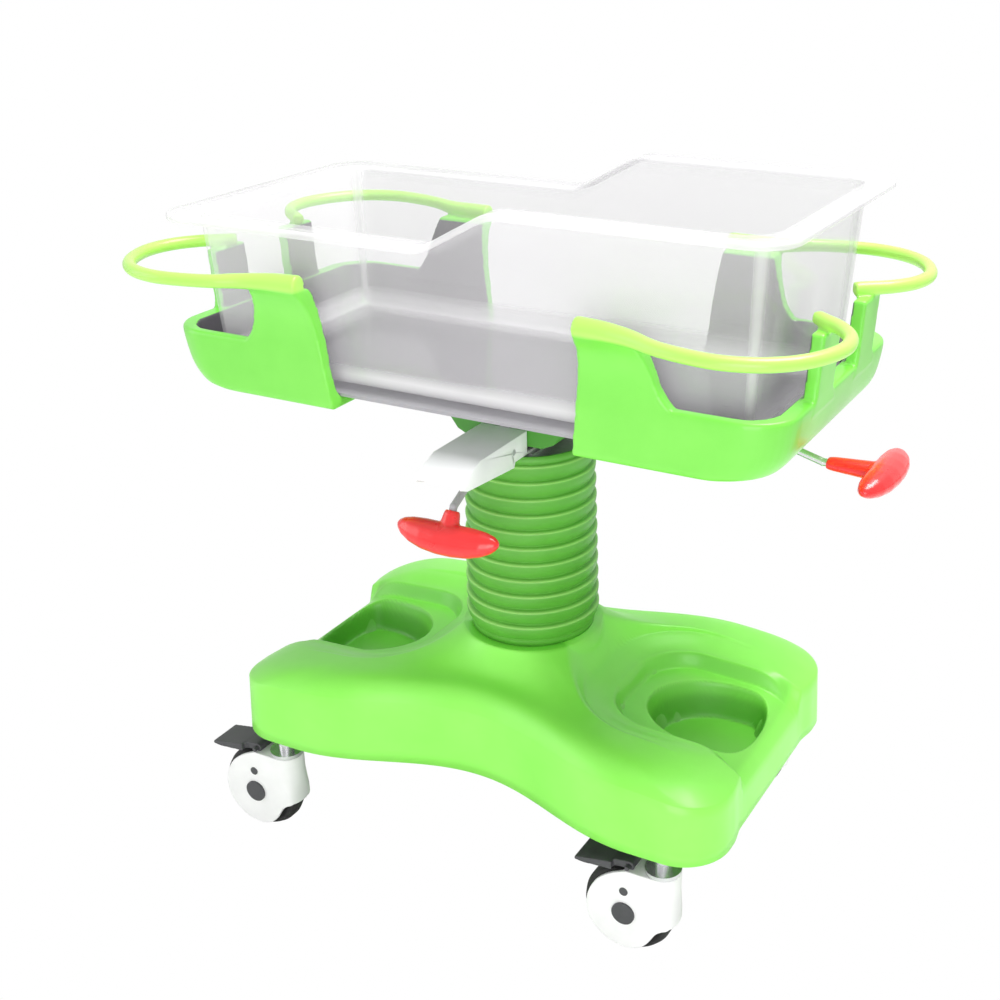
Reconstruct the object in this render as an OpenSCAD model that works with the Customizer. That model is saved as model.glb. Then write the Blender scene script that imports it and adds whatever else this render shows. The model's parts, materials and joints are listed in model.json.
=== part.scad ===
// Hospital bassinet. A clear basin sits in two trays with rail loops, which tilt on a telescopic
// column over a moulded base cover and four braked casters with covers on both sides.
// X runs along the basin to its high end, Y across it and Z up. The floor is at Z = 0 and the
// origin lies under the middle of the outer box.

/* [Basin] */
// Length over the rim
basin_l = 850; // [800:1:900]
// Width over the rim
basin_w = 423; // [405:1:445]
// Depth of the basin at its low end
basin_low_h = 208; // [190:1:225]
// Depth of the basin at its high end
basin_high_h = 258; // [240:1:290]
// Wall thickness of the clear basin
basin_wall = 4; // [3:0.5:6]
// How much each wall leans in towards the bottom
basin_draft = 21; // [14:1:26]
// Width of the rim's flange
rim_flange_w = 28.5; // [22:0.5:32]
// Depth of the rim's turned-down lip
rim_lip_h = 9; // [6:1:14]
// Corner radius of the rim
rim_corner_r = 47; // [40:1:60]
// Where the rim starts to rise, along X
step_low_x = -20; // [-60:1:20]
// Where the rim reaches its full height, along X
step_high_x = 67; // [40:1:120]

/* [Cradle] */
// Free length between the two trays
tray_gap = 339; // [310:1:360]
// Thickness of a tray's floor
tray_floor_t = 13.5; // [11:0.5:16]
// Height of a tray's low wall, from the underside
tray_wall_h = 78.5; // [66:0.5:90]
// Thickness of a tray's side wall
tray_wall_t = 17; // [14:0.5:20]
// Thickness of a tray's end wall
tray_end_t = 26; // [22:0.5:30]
// Plan radius of a tray's outer corners
tray_corner_r = 56; // [45:1:65]
// Height of the fins and posts, from the underside
fin_h = 157.5; // [140:0.5:170]
// Length of a fin along its top
fin_top_l = 74; // [60:1:85]
// Width of a post that carries a rail's end
post_w = 60; // [48:1:70]
// Distance of the posts from the middle
post_y = 75; // [65:1:85]
// Thickness of the deck plate that lies on the trays' floors
plate_t = 4; // [3:0.5:5]

/* [Rails] */
// Diameter of a rail's tube
rail_d = 17; // [14:0.5:19]
// Diameter of a rail's root on the fin
rail_root_d = 25; // [21:0.5:28]
// How far the rails stand out past the rim's ends
rail_reach_x = 53; // [40:1:60]
// How far the rails stand out past the rim's sides
rail_reach_y = 56.5; // [45:0.5:65]

/* [Column] */
// Outer diameter of the fixed tube
column_d = 110; // [102:1:116]
// Outer diameter of the sliding tube
inner_d = 96; // [90:1:98]
// Free length of the bellows at rest
bellows_l = 277; // [265:1:290]
// Diameter of the bellows at its foot
bellows_foot_d = 188; // [182:1:192]
// Diameter of the bellows at its top
bellows_top_d = 178; // [176:1:184]
// Number of pleats
bellows_pleats = 11; // [9:1:13]
// Depth of a pleat
pleat_depth = 8; // [5:0.5:9]
// Height of the tilt axis over the top of the bellows
pivot_rise = 37; // [36:0.5:40]

/* [Levers] */
// Length of the red handles' bars
handle_l = 148; // [120:1:160]
// Width of a bar along its neck
handle_w = 42; // [34:1:46]
// Thickness of a bar
handle_t = 33; // [28:1:38]
// Diameter of the lever rods
lever_rod_d = 10; // [8:0.5:12]
// Length of the grey bracket out from the pivot housing
bracket_reach = 160; // [140:1:175]
// Width of the grey bracket
bracket_w = 68; // [60:1:74]

/* [Base] */
// Length over the feet
foot_l = 746; // [720:1:770]
// Width over the feet
foot_w = 456; // [444:1:476]
// Width of the cover at its waist
waist_w = 330; // [320:1:350]
// Height of the cover's side wall
cover_wall_h = 95; // [90:1:100]
// Height of the collar over the cover's edge
collar_h = 166; // [158:1:172]
// Wall thickness of the moulded cover
cover_wall = 4; // [3:0.5:5]
// Width of the recess at each end
recess_w = 186; // [178:1:196]
// Width of the cup in each recess
cup_w = 160; // [150:1:170]
// Depth of the cup below the recess
cup_depth = 50; // [40:1:54]

/* [Casters] */
// Diameter of a wheel
wheel_d = 125; // [115:1:130]
// Width of a tyre
tyre_w = 32; // [26:1:36]
// Trail of a wheel behind its stem
caster_trail = 45; // [44:1:48]
// How far the stems stand in from the cover's ends
stem_in_x = 74; // [70:1:80]
// How far the stems stand in from the cover's sides
stem_in_y = 26; // [25:1:32]
// Diameter of a caster stem
stem_d = 22; // [20:1:24]

/* [Hidden] */
// Overrun of every cut
cut = 1;
// Gap between faces that only seat on each other
seat = 0.3;
// Radial clearance of pins, tubes and shafts in their bores
fit = 0.05;
$fn = 48;

// Casters
wheel_r = wheel_d / 2;
tyre_t = 14.5;
tyre_clear = 2;
cover_trim = 4.5;
side_t = 6;
side_gap = 1.5;
side_in_y = tyre_w / 2 + side_gap;
crown_h = 4.5;
crown_top = wheel_r + crown_h;
crown_half = 24;
ring_r = 24;
ring_t = 5.5;
ring_edge = 2;
stem_r = stem_d / 2;
axle_r = 5;
cap_r = 16;
cap_t = 3;
screw_r = 6;
screw_rise = 34;
pedal_pin_r = 3;
pedal_pin_x = 4;
pedal_pin_rise = 8;
pedal_w = 50;
pedal_reach = 71;
pedal_tip_t = 7;
pedal_boss_r = 7;
ear_r = 8;
hub_r = 14;
web_t = 12;
socket_r = 17.5;
socket_h = 50;
socket_lift = 5;

// Base cover and frame
cover_lift = 35;
cover_z = wheel_d + cover_lift;
foot_x = foot_l / 2;
foot_y = foot_w / 2;
stem_x = foot_x - stem_in_x;
stem_y = foot_y - stem_in_y;
waist_y = waist_w / 2;
waist_x = 260;
foot_r = 66;
end_inset = 5;
end_half = 112;
end_ease = 38;
edge_drop = 16;
edge_drop_x = 220;
wall_draft_share = 0.012;
crease_z = cover_z + cover_wall_h;
collar_z = cover_z + collar_h;
collar_land = 5;
collar_r = bellows_foot_d / 2 + collar_land;
shoulder_h = 30;
recess_x = 164;
recess_in_z = 91;
recess_out_z = 82;
recess_r = 62;
recess_step = 15;
recess_step_h = 19;
recess_flare = 50;
recess_lip = 31;
recess_end_z = 48;
recess_end_run = 76;
cup_x = 285;
cup_in = 98;
cup_out = 64;
cup_rim = 12;
cup_edge = 5;
frame_gap = 6;
frame_z = cover_z + frame_gap;
frame_t = 20;
frame_top_z = frame_z + frame_t;
arm_w = 34;
arm_h = 30;
hub_half_x = 90;
hub_half_y = 72;
boss_r = 9;
boss_share = 0.62;

// Column
flange_r = 78;
flange_t = 10;
tube_wall = 4;
tube_top = 470;
column_r = column_d / 2;
inner_r = inner_d / 2;
tube_lap = 36;
inner_foot_z = collar_z - tube_lap;
bush_h = 30;
bush_lip = 4;
head_t = 8;
head_drop = 3;
bellows_top_z = collar_z + seat + bellows_l;
head_top_z = bellows_top_z - head_drop;
head_z = head_top_z - head_t;
head_in = 7;
head_r = bellows_top_d / 2 - head_in;
bellows_wall = 2.5;
cuff_h = head_drop + head_t + cut;
clamp_t = 8;
clamp_w = 12;
spring_r = 22;
spring_wall = 4;
spring_top = 420;
spring_cap = 10;
rod_r = 8;
piston_t = 12;
piston_drop = 26;
piston_z = collar_z - piston_drop;
spigot_h = 12;
bolt_r = 5;
bolt_head_r = 9;
bolt_head_t = 6;
bolt_ring_r = 66;

// Head, pivot and housing
pivot_z = bellows_top_z + pivot_rise;
pad_t = 3.5;
pad_x = 40;
pad_y = 62;
cheek_r = 18;
cheek_t = 10;
cheek_y = 22;
pin_r = 8;
disc_r = 21;
disc_t = 12;
housing_x = 87;
housing_y = 65;
housing_wall = 6;
housing_drop = 26;
housing_foot_x = 55;
housing_knee_x = 72;
housing_knee = 18;
housing_side = 2;
tray_rise = 32.5;
tray_z = pivot_z + tray_rise;
plate_z = tray_z + tray_floor_t;
housing_top_gap = 6.5;

// Trays
tray_in_x = tray_gap / 2;
tray_end_reach = 5;
tray_end_x = basin_l / 2 + tray_end_reach;
tray_end_run = 44;
tray_in_y = 11;
tray_half_w = basin_w / 2 - tray_in_y;
tray_lean_share = 0.06;
tray_in_lean_share = 0.117;
tray_edge_r = 4;
tray_profile_shares = [[0, 0, 1], [0.05, 0.28, 0.3], [0.11, 0.46, 0], [0.3, 0.74, 0],
    [0.55, 0.9, 0], [0.95, 1, 0], [1, 1, 1]];
fin_z = tray_z + fin_h;
fin_flare = 25;
fin_flare_in = 10;
fin_run = 26;
fin_fillet = 18;
fin_fillet_share = 0.4;
fin_shares = [0, 0.04, 0.09, 0.16, 0.26, 0.4, 0.58, 0.74, 0.86, 0.94, 1];
fin_flare_power = 4;
post_t = 17;
post_lean = 6;
post_flare = 8;
post_shares = [0, 0.06, 0.16, 0.3, 1];
plate_gap = 0.6;
plate_x = tray_end_x - tray_end_t - 2 * tray_edge_r - plate_gap;
plate_y = tray_half_w - tray_wall_t - tray_edge_r - plate_gap;
plate_r = tray_corner_r - tray_wall_t;
tray_bolt_in_x = 35.5;
tray_bolt_x = tray_in_x + tray_bolt_in_x;
tray_bolt_step = 95;
tray_bolt_in_y = 88.9;
tray_bolt_y = plate_y - tray_bolt_in_y;
tray_bolt_r = 4;
deck_screw_in_x = 112.4;
deck_screw_x = plate_x - deck_screw_in_x;
deck_screw_r = 6;
deck_screw_t = 1.7;
foot_pad_t = 2;
foot_pad_r = 9;
foot_pad_in_x = 75.4;
foot_pad_in_y = 63.9;
foot_pad_x = plate_x - foot_pad_in_x;
foot_pad_y = plate_y - foot_pad_in_y;

// Rails
rail_r = rail_d / 2;
rail_root_r = rail_root_d / 2;
rail_flat = 0.8;
rail_z = fin_z + seat + rail_r - rail_flat;
rail_out_x = basin_l / 2 + rail_reach_x;
rail_out_y = basin_w / 2 + rail_reach_y;
rail_screw_r = 3;
rail_sides = 10;
rail_steps = 3;
rail_path_shares = [[-0.34, 0.767], [-0.163, 0.785], [0, 0.835], [0.172, 0.93], [0.358, 0.985],
    [0.544, 1], [0.73, 0.94], [0.879, 0.803], [0.972, 0.611], [1, 0.43], [0.963, 0.254],
    [0.87, 0.109], [0.767, 0.02], [0.7, -0.04]];
rail_root_share = 0.26;

// Basin
basin_z = plate_z + plate_t + foot_pad_t + seat;
basin_top_x = basin_l / 2 - rim_flange_w;
basin_top_y = basin_w / 2 - rim_flange_w;
basin_bottom_r = 40;
basin_low_z = basin_z + basin_low_h;
basin_high_z = basin_z + basin_high_h;

// Levers
bend_swell = 1.04;
lever_pin_r = 4;
lever_pin_y = 100;
lever_pin_rise = 14.5;
bracket_t = 3;
bracket_gap = 1.5;
bracket_y = housing_y + bracket_gap;
bracket_top_rise = 32.5;
bracket_nose = 45;
bracket_foot_in = 35;
bracket_foot_out = 100;
bracket_dip = 7;
bracket_bolt_in = 14;
boss_t = 8;
height_rod_y = 93;
height_rod_drop = 45;
neck_lead = 5;
height_neck_y = 20;
height_neck_drop = 37;
height_neck_l = sqrt(pow(height_neck_y, 2) + pow(height_neck_drop, 2)) - neck_lead;
socket_depth = 18;
neck_w = 26;
neck_t = 20;
handle_bow = 7;
handle_shares = [-1, -0.96, -0.87, -0.7, -0.45, -0.15, 0.15, 0.45, 0.7, 0.87, 0.96, 1];
neck_shares = [[0, 0.72], [0.12, 0.86], [0.45, 1], [1, 1.25]];
tilt_pin_x = 150;
tilt_pin_drop = 37.5;
tilt_bend_x = 372;
tilt_neck_x = 415;
tilt_neck_drop = 2;
tilt_neck_z = pivot_z - tilt_neck_drop;
tilt_bar_x = 490;
tilt_ear_y = 8;
tilt_ear_t = 5;
tilt_ear_r = 7;
tilt_finger_l = 12;
shoe_l = 40;
shoe_w = 20;
link_r = 3;

// The outer box's middle, from the rails at one end and the tilt handle at the other
reach_left = rail_out_x + rail_r;
reach_right = tilt_bar_x + handle_w / 2;
origin_x = (reach_right - reach_left) / 2;

// Points on a round corner about the centre c
function corner(c, r, a0, z, n = 6) =
    [for (i = [0:n]) [c[0] + r * cos(a0 + 90 * i / n), c[1] + r * sin(a0 + 90 * i / n), z]];

// Ring of a rounded rectangle, anticlockwise from above
function round_ring(hx, hy, r, z) = concat(
    corner([hx - r, hy - r], r, 0, z),
    corner([r - hx, hy - r], r, 90, z),
    corner([r - hx, r - hy], r, 180, z),
    corner([hx - r, r - hy], r, 270, z));

// Ring of a block that is square inboard and has round corners outboard
function end_ring(x0, x1, hy, r, z) = concat(
    [[x0, -hy, z]],
    corner([x1 - r, r - hy], r, 270, z),
    corner([x1 - r, hy - r], r, 0, z),
    [[x0, hy, z]]);

function box_ring(x0, x1, y0, y1, z) = [[x0, y0, z], [x1, y0, z], [x1, y1, z], [x0, y1, z]];

// Solid through rings that rise and run anticlockwise from above
module loft(rings) {
    n = len(rings[0]);
    last = len(rings) - 1;
    points = [for (ring = rings) each ring];
    sides = [for (i = [0:last - 1], j = [0:n - 1])
        let (k = (j + 1) % n, a = i * n, b = a + n)
        each [[a + j, b + j, b + k], [a + j, b + k, a + k]]];
    caps = [[for (j = [0:n - 1]) j], [for (j = [n - 1:-1:0]) last * n + j]];
    polyhedron(points, concat(sides, caps), convexity = 10);
}

module ring_tube(r, inner, h) {
    difference() {
        cylinder(r = r, h = h);
        translate([0, 0, -cut]) cylinder(r = inner, h = h + 2 * cut);
    }
}

// Rod with a round joint at each of its bends
module rod(points, r) {
    for (i = [0:len(points) - 2]) {
        d = points[i + 1] - points[i];
        l = norm(d);
        translate(points[i])
            rotate([0, acos(d[2] / l), atan2(d[1], d[0])])
                cylinder(r = r, h = l);
        if (i > 0)
            translate(points[i]) sphere(r = r * bend_swell);
    }
}

module along_y(y0, y1) {
    translate([0, y1, 0]) rotate([90, 0, 0]) linear_extrude(y1 - y0) children();
}

module along_x(x0, x1) {
    translate([x0, 0, 0]) rotate([90, 0, 90]) linear_extrude(x1 - x0) children();
}

module y_pin(r, y0, y1) {
    translate([0, y1, 0]) rotate([90, 0, 0]) cylinder(r = r, h = y1 - y0);
}

module x_pin(r, x0, x1) {
    translate([x0, 0, 0]) rotate([0, 90, 0]) cylinder(r = r, h = x1 - x0);
}

module placed() {
    translate([-origin_x, 0, 0]) children();
}

// Base cover

// A quarter of the cover's outline, from the end to the waist
end_x = foot_x - end_inset;
quarter = concat(
    [[end_x, 0], [end_x, end_half / 2], [end_x, end_half]],
    [for (s = [0.3, 0.7, 1]) [end_x + end_inset * s * s * (3 - 2 * s), end_half + end_ease * s]],
    [for (a = [0:15:90]) [foot_x - foot_r + foot_r * cos(a), foot_y - foot_r + foot_r * sin(a)]],
    [for (i = [0:9]) let (s = 1 - i / 9)
        [waist_x * s, waist_y + (foot_y - waist_y) * (1 - cos(180 * s)) / 2]]);
quarter_last = len(quarter) - 1;
outline = concat(
    quarter,
    [for (i = [quarter_last - 1:-1:0]) [-quarter[i][0], quarter[i][1]]],
    [for (i = [1:quarter_last]) [-quarter[i][0], -quarter[i][1]]],
    [for (i = [quarter_last - 1:-1:1]) [quarter[i][0], -quarter[i][1]]]);

// Height of the cover's top at a share of the way from its edge to the collar
function dome_z(t) = crease_z + shoulder_h * (1 - pow(1 - t, 6))
    + (collar_z - crease_z - shoulder_h) * pow(t, 5);

// How far the cover's edge has dropped towards the ends
function drop_at(x) = edge_drop * pow(max(0, (abs(x) - edge_drop_x) / (foot_x - edge_drop_x)), 2);

function cover_ring(t, z, inset, dropped = 1) = [for (p = outline)
    let (a = atan2(p[1] / foot_y, p[0] / foot_x),
        q = (collar_r - inset) * [cos(a), sin(a)],
        o = p * (1 - inset / norm(p)),
        m = o * (1 - t) + q * t)
    [m[0], m[1], z - dropped * drop_at(p[0]) * pow(1 - t, 2)]];

dome_shares = [0, 0.02, 0.05, 0.1, 0.18, 0.3, 0.45, 0.6, 0.72, 0.82, 0.91, 1];
void_shares = [0, 0.04, 0.12, 0.35, 0.6, 0.8, 1];

module dome(inset, shares, foot) {
    loft(concat(
        [cover_ring(0, foot, inset, 0)],
        [for (t = shares) cover_ring(t * (1 - wall_draft_share) + wall_draft_share,
            dome_z(t) - inset, inset)]));
}

// Floor of the recess, which falls towards the end
function recess_z(x) = cover_z + recess_in_z
    - (recess_in_z - recess_out_z) * (x - recess_x) / (end_x - recess_x);

function recess_ring(out, z) = [for (p = end_ring_mirrored(out)) [p[0], p[1], z + recess_z(p[0])]];

// Plan of the recess: round inboard, open at the end
function end_ring_mirrored(out) = let (
    x0 = recess_x - out, x1 = foot_x + end_inset, hy = recess_w / 2 + out, r = recess_r + out)
    concat(
        [[x1, -hy], [x1, hy]],
        [for (a = [90:15:180]) [x0 + r + r * cos(a), hy - r + r * sin(a)]],
        [for (a = [180:15:270]) [x0 + r + r * cos(a), r - hy + r * sin(a)]]);

// Side view of the recess floor's rounded fall at the end
recess_fall = [for (i = [0:6]) let (s = i / 6)
    [end_x - recess_end_run * (1 - s), recess_z(end_x - recess_end_run * (1 - s))
        - (recess_out_z - recess_end_z) * pow(s, 2.5)]];

module recess(out) {
    side = recess_w / 2 + recess_step + out;
    far = foot_x + end_inset;
    loft([recess_ring(out, -out), recess_ring(out + recess_step, recess_step_h - out),
        recess_ring(out + recess_flare, recess_lip - out), recess_ring(out + recess_flare, collar_h)]);
    along_y(-side, side)
        polygon(concat([for (p = recess_fall) p - [0, out]],
            [[far, recess_fall[6][1] - out], [far, crease_z], [end_x - recess_end_run, crease_z]]));
}

function cup_ring(out, z) = [for (a = [0:15:345])
    let (c = cos(a))
    [cup_x + (c > 0 ? (cup_out + out) * pow(c, 0.5) : (cup_in + out) * c),
        (cup_w / 2 + out) * sin(a), z]];

module cup(out) {
    rim_z = recess_z(cup_x);
    floor_z = rim_z - cup_depth - out;
    loft([cup_ring(out - cup_rim, floor_z), cup_ring(out - cup_rim / 2, floor_z + cup_edge),
        cup_ring(out - cup_edge, rim_z - cup_edge), cup_ring(out, rim_z + cup_edge),
        cup_ring(out, rim_z + 2 * cup_rim)]);
}

module both_ends() {
    children();
    mirror([1, 0, 0]) children();
}

// The moulding is brought to its overall size as one shell
module base_cover() {
    color("lawngreen")
    resize([foot_l, foot_w, collar_h])
    difference() {
        dome(0, dome_shares, cover_z);
        difference() {
            dome(cover_wall, void_shares, cover_z - cut);
            both_ends() {
                recess(cover_wall);
                cup(cover_wall);
            }
            for (sx = [-1, 1], sy = [-1, 1])
                translate([sx * stem_x * boss_share, sy * stem_y * boss_share, frame_z + arm_h + seat])
                    cylinder(r = boss_r, h = collar_h);
        }
        both_ends() {
            recess(0);
            cup(0);
        }
        translate([0, 0, collar_z - cover_wall - cut]) cylinder(r = column_r + cut, h = collar_h);
    }
}

module base_frame() {
    arm_l = norm([stem_x, stem_y]);
    arm_start = flange_r + frame_gap;
    color("dimgray")
    difference() {
        union() {
            translate([-hub_half_x, -hub_half_y, frame_z])
                cube([2 * hub_half_x, 2 * hub_half_y, frame_t]);
            for (sx = [-1, 1], sy = [-1, 1]) {
                rotate([0, 0, atan2(sy * stem_y, sx * stem_x)])
                    translate([arm_start, -arm_w / 2, frame_z])
                        cube([arm_l - arm_start, arm_w, arm_h]);
                translate([sx * stem_x, sy * stem_y, frame_z - socket_lift])
                    cylinder(r = socket_r, h = socket_h);
            }
        }
        for (sx = [-1, 1], sy = [-1, 1])
            translate([sx * stem_x, sy * stem_y, frame_z - socket_lift - cut])
                cylinder(r = stem_r + fit, h = socket_h + 2 * cut);
        for (a = [0:90:270])
            rotate([0, 0, a]) translate([bolt_ring_r, 0, frame_z - cut])
                cylinder(r = bolt_r + fit, h = frame_t + 2 * cut);
    }
}

// Column

module column_tube() {
    color("silver")
    difference() {
        union() {
            translate([0, 0, frame_top_z]) cylinder(r = flange_r, h = flange_t);
            translate([0, 0, frame_top_z]) cylinder(r = column_r, h = tube_top - frame_top_z);
        }
        translate([0, 0, frame_top_z - cut])
            cylinder(r = column_r - tube_wall, h = tube_top);
        for (a = [0:90:270])
            rotate([0, 0, a]) translate([bolt_ring_r, 0, frame_top_z - cut])
                cylinder(r = bolt_r + fit, h = flange_t + 2 * cut);
    }
}

module column_bolts() {
    color("gray")
    for (a = [0:90:270])
        rotate([0, 0, a]) translate([bolt_ring_r, 0, frame_z]) {
            cylinder(r = bolt_r, h = frame_t + flange_t + bolt_head_t);
            translate([0, 0, frame_t + flange_t]) cylinder(r = bolt_head_r, h = bolt_head_t, $fn = 6);
        }
}

module column_bush() {
    color("black")
    difference() {
        union() {
            translate([0, 0, tube_top - bush_h])
                cylinder(r = column_r - tube_wall - fit, h = bush_h + bush_lip);
            translate([0, 0, tube_top]) cylinder(r = column_r, h = bush_lip);
        }
        translate([0, 0, tube_top - bush_h - cut])
            cylinder(r = inner_r + fit, h = bush_h + bush_lip + 2 * cut);
    }
}

module lift_cylinder() {
    color("black")
    difference() {
        translate([0, 0, frame_top_z]) cylinder(r = spring_r, h = spring_top - frame_top_z);
        translate([0, 0, frame_top_z + spring_cap])
            cylinder(r = spring_r - spring_wall, h = spring_top - frame_top_z - 2 * spring_cap);
        translate([0, 0, spring_top - spring_cap - cut])
            cylinder(r = rod_r + fit, h = spring_cap + 2 * cut);
    }
}

module lift_rod() {
    color("silver") {
        translate([0, 0, piston_z]) cylinder(r = rod_r, h = head_top_z - piston_z);
        translate([0, 0, piston_z]) cylinder(r = spring_r - spring_wall - fit, h = piston_t);
    }
}

module inner_tube() {
    color("silver")
    translate([0, 0, inner_foot_z]) ring_tube(inner_r, inner_r - tube_wall, head_z - inner_foot_z);
}

module inner_bush() {
    color("black")
    translate([0, 0, inner_foot_z])
        ring_tube(column_r - tube_wall - fit, inner_r + fit, bush_h);
}

// Outer and inner lines of the sleeve, from its foot to its top
pleat_shares = [0, 0.08, 0.25, 0.5, 0.75, 0.92];
pleated_l = bellows_l - 2 * cuff_h;
function sleeve_r(s) = bellows_foot_d / 2 + (bellows_top_d - bellows_foot_d) / 2 * s;
function pleat_point(i, u, wall) =
    let (s = (i + u) / bellows_pleats)
    [sleeve_r(s) - pleat_depth * pow(abs(2 * u - 1), 3) - wall, cuff_h + pleated_l * s];
function pleats(wall) = concat(
    [[sleeve_r(0) - pleat_depth - wall, 0]],
    [for (i = [0:bellows_pleats - 1], u = pleat_shares) pleat_point(i, u, wall)],
    [[sleeve_r(1) - pleat_depth - wall, bellows_l - cuff_h],
        [head_r + seat + bellows_wall - wall, bellows_l - cuff_h],
        [head_r + seat + bellows_wall - wall, bellows_l]]);

module bellows() {
    outer = pleats(0);
    inner = pleats(bellows_wall);
    last = len(inner) - 1;
    color("forestgreen")
    translate([0, 0, collar_z + seat])
        rotate_extrude($fn = 72)
            polygon(concat(outer, [for (i = [last:-1:0]) inner[i]]));
}

module bellows_clamp_lower() {
    r = bellows_foot_d / 2 - pleat_depth - bellows_wall - seat;
    color("gray")
    translate([0, 0, collar_z]) ring_tube(r, r - clamp_w, clamp_t);
}

module bellows_clamp_upper() {
    color("gray")
    translate([0, 0, head_z - clamp_t - seat])
        ring_tube(bellows_top_d / 2 - pleat_depth - bellows_wall - seat,
            bellows_top_d / 2 - pleat_depth - bellows_wall - seat - clamp_w, clamp_t);
}

// Carriage head

module column_head() {
    color("silver")
    difference() {
        union() {
            translate([0, 0, head_z]) cylinder(r = head_r, h = head_t);
            translate([0, 0, head_z - spigot_h]) cylinder(r = inner_r - tube_wall - fit, h = spigot_h + cut);
            translate([-pad_x, -pad_y, head_top_z - cut]) cube([2 * pad_x, 2 * pad_y, pad_t + cut]);
            for (s = [0, 1]) mirror([0, s, 0]) {
                translate([-cheek_r, cheek_y, head_top_z])
                    cube([2 * cheek_r, cheek_t, pivot_z - head_top_z]);
                translate([0, 0, pivot_z]) y_pin(cheek_r, cheek_y, cheek_y + cheek_t);
            }
        }
        translate([0, 0, pivot_z]) y_pin(pin_r + fit, -housing_y, housing_y);
        translate([0, 0, head_z - spigot_h - cut])
            cylinder(r = rod_r + fit, h = spigot_h + head_t + cut);
        for (s = [-1, 1])
            translate([s * bracket_w / 3, -(bracket_foot_in + bracket_bolt_in), head_z - cut])
                cylinder(r = tray_bolt_r + fit, h = head_t + pad_t + 2 * cut);
    }
}

module tilt_pin() {
    color("silver")
    translate([0, 0, pivot_z]) y_pin(pin_r, seat - housing_y, housing_y - seat);
}

module tilt_disc() {
    color("gray")
    translate([0, 0, pivot_z])
        difference() {
            y_pin(disc_r, -disc_t / 2, disc_t / 2);
            y_pin(pin_r + fit, -disc_t, disc_t);
        }
}

// Side view of the grey bracket, with Y out from the housing turned to negative
module bracket_side() {
    z0 = head_top_z + pad_t;
    top = head_top_z + bracket_top_rise + pad_t;
    end = bracket_y + bracket_reach;
    polygon([[-bracket_y, z0], [-bracket_foot_out + bracket_t, z0],
        [-bracket_foot_out, z0 - bracket_dip],
        [bracket_nose / 3 - end, z0 + bracket_t], [-end, z0 + 3 * bracket_t],
        [-end, z0 + 5 * bracket_t], [bracket_nose - end, top], [-bracket_y, top]]);
}

module bracket_roof() {
    z0 = head_top_z + pad_t;
    top = head_top_z + bracket_top_rise + pad_t;
    end = bracket_y + bracket_reach;
    polygon([[-bracket_y, top], [bracket_nose - end, top], [-end, z0 + 5 * bracket_t],
        [-end, z0 + 4 * bracket_t], [bracket_nose - end, top - bracket_t],
        [-bracket_y, top - bracket_t]]);
}

module lever_bracket() {
    z0 = head_top_z + pad_t;
    color("gainsboro")
    difference() {
        union() {
            for (s = [0, 1]) mirror([s, 0, 0])
                along_x(bracket_w / 2 - bracket_t, bracket_w / 2) bracket_side();
            along_x(-bracket_w / 2, bracket_w / 2) bracket_roof();
            translate([-bracket_w / 2, -bracket_foot_out, z0])
                cube([bracket_w, bracket_foot_out - bracket_foot_in, bracket_t]);
        }
        translate([0, -lever_pin_y, z0 + lever_pin_rise])
            x_pin(lever_pin_r + fit, -bracket_w, bracket_w);
        for (s = [-1, 1])
            translate([s * bracket_w / 3, -(bracket_foot_in + bracket_bolt_in), z0 - cut])
                cylinder(r = tray_bolt_r + fit, h = bracket_t + 2 * cut);
    }
}

module bracket_bolts() {
    color("gray")
    for (s = [-1, 1])
        translate([s * bracket_w / 3, -(bracket_foot_in + bracket_bolt_in), head_z])
            cylinder(r = tray_bolt_r, h = head_t + pad_t + bracket_t);
}

module lever_pin() {
    color("silver")
    translate([0, -lever_pin_y, head_top_z + pad_t + lever_pin_rise])
        x_pin(lever_pin_r, -bracket_w / 2, bracket_w / 2);
}

// Levers

// Points of a bent rod in a lever's own plane: pivot, bend and end inside the handle
height_pivot = [0, -lever_pin_y, head_top_z + pad_t + lever_pin_rise];
height_bend = height_pivot - [0, height_rod_y, height_rod_drop];
height_dir = [0, -height_neck_y, -height_neck_drop] / norm([height_neck_y, height_neck_drop]);

module t_handle(neck_l) {
    half = handle_l / 2;
    color("red")
    difference() {
        union() {
            translate([0, 0, neck_l])
                rotate([90, 0, 90])
                    loft([for (u = handle_shares)
                        let (s = max(0.12, pow(1 - pow(abs(u), 2.6), 0.5)))
                        [for (a = [0:20:340])
                            [handle_t / 2 * s * cos(a), handle_w / 2 * s * sin(a) - handle_bow * u * u,
                                half * u]]]);
            loft([for (p = neck_shares)
                [for (a = [0:20:340])
                    [neck_w / 2 * p[1] * cos(a), neck_t / 2 * p[1] * sin(a), neck_l * p[0]]]]);
        }
        translate([0, 0, -cut]) cylinder(r = lever_rod_d / 2 + fit, h = socket_depth + cut + seat);
    }
}

module height_rod() {
    color("silver")
    difference() {
        union() {
            rod([height_pivot, height_bend, height_bend + height_dir * (neck_lead + socket_depth)],
                lever_rod_d / 2);
            translate(height_pivot)
                x_pin(boss_t, bracket_t + 2 * seat - bracket_w / 2, bracket_w / 2 - bracket_t - 2 * seat);
            translate(height_pivot + [-lever_rod_d / 2, 0, -lever_rod_d / 2])
                cube([lever_rod_d, lever_pin_y - bracket_y - boss_t, lever_rod_d]);
        }
        translate(height_pivot) x_pin(lever_pin_r + fit, -bracket_w, bracket_w);
    }
}

module height_handle() {
    translate(height_bend + height_dir * neck_lead)
        rotate([180 - atan2(height_neck_y, height_neck_drop), 0, 0])
            t_handle(height_neck_l);
}

tilt_pivot = [tilt_pin_x, 0, plate_z - tilt_pin_drop];
tilt_bend = [tilt_bend_x, 0, plate_z - tilt_pin_drop];
tilt_neck = [tilt_neck_x, 0, tilt_neck_z];

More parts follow.
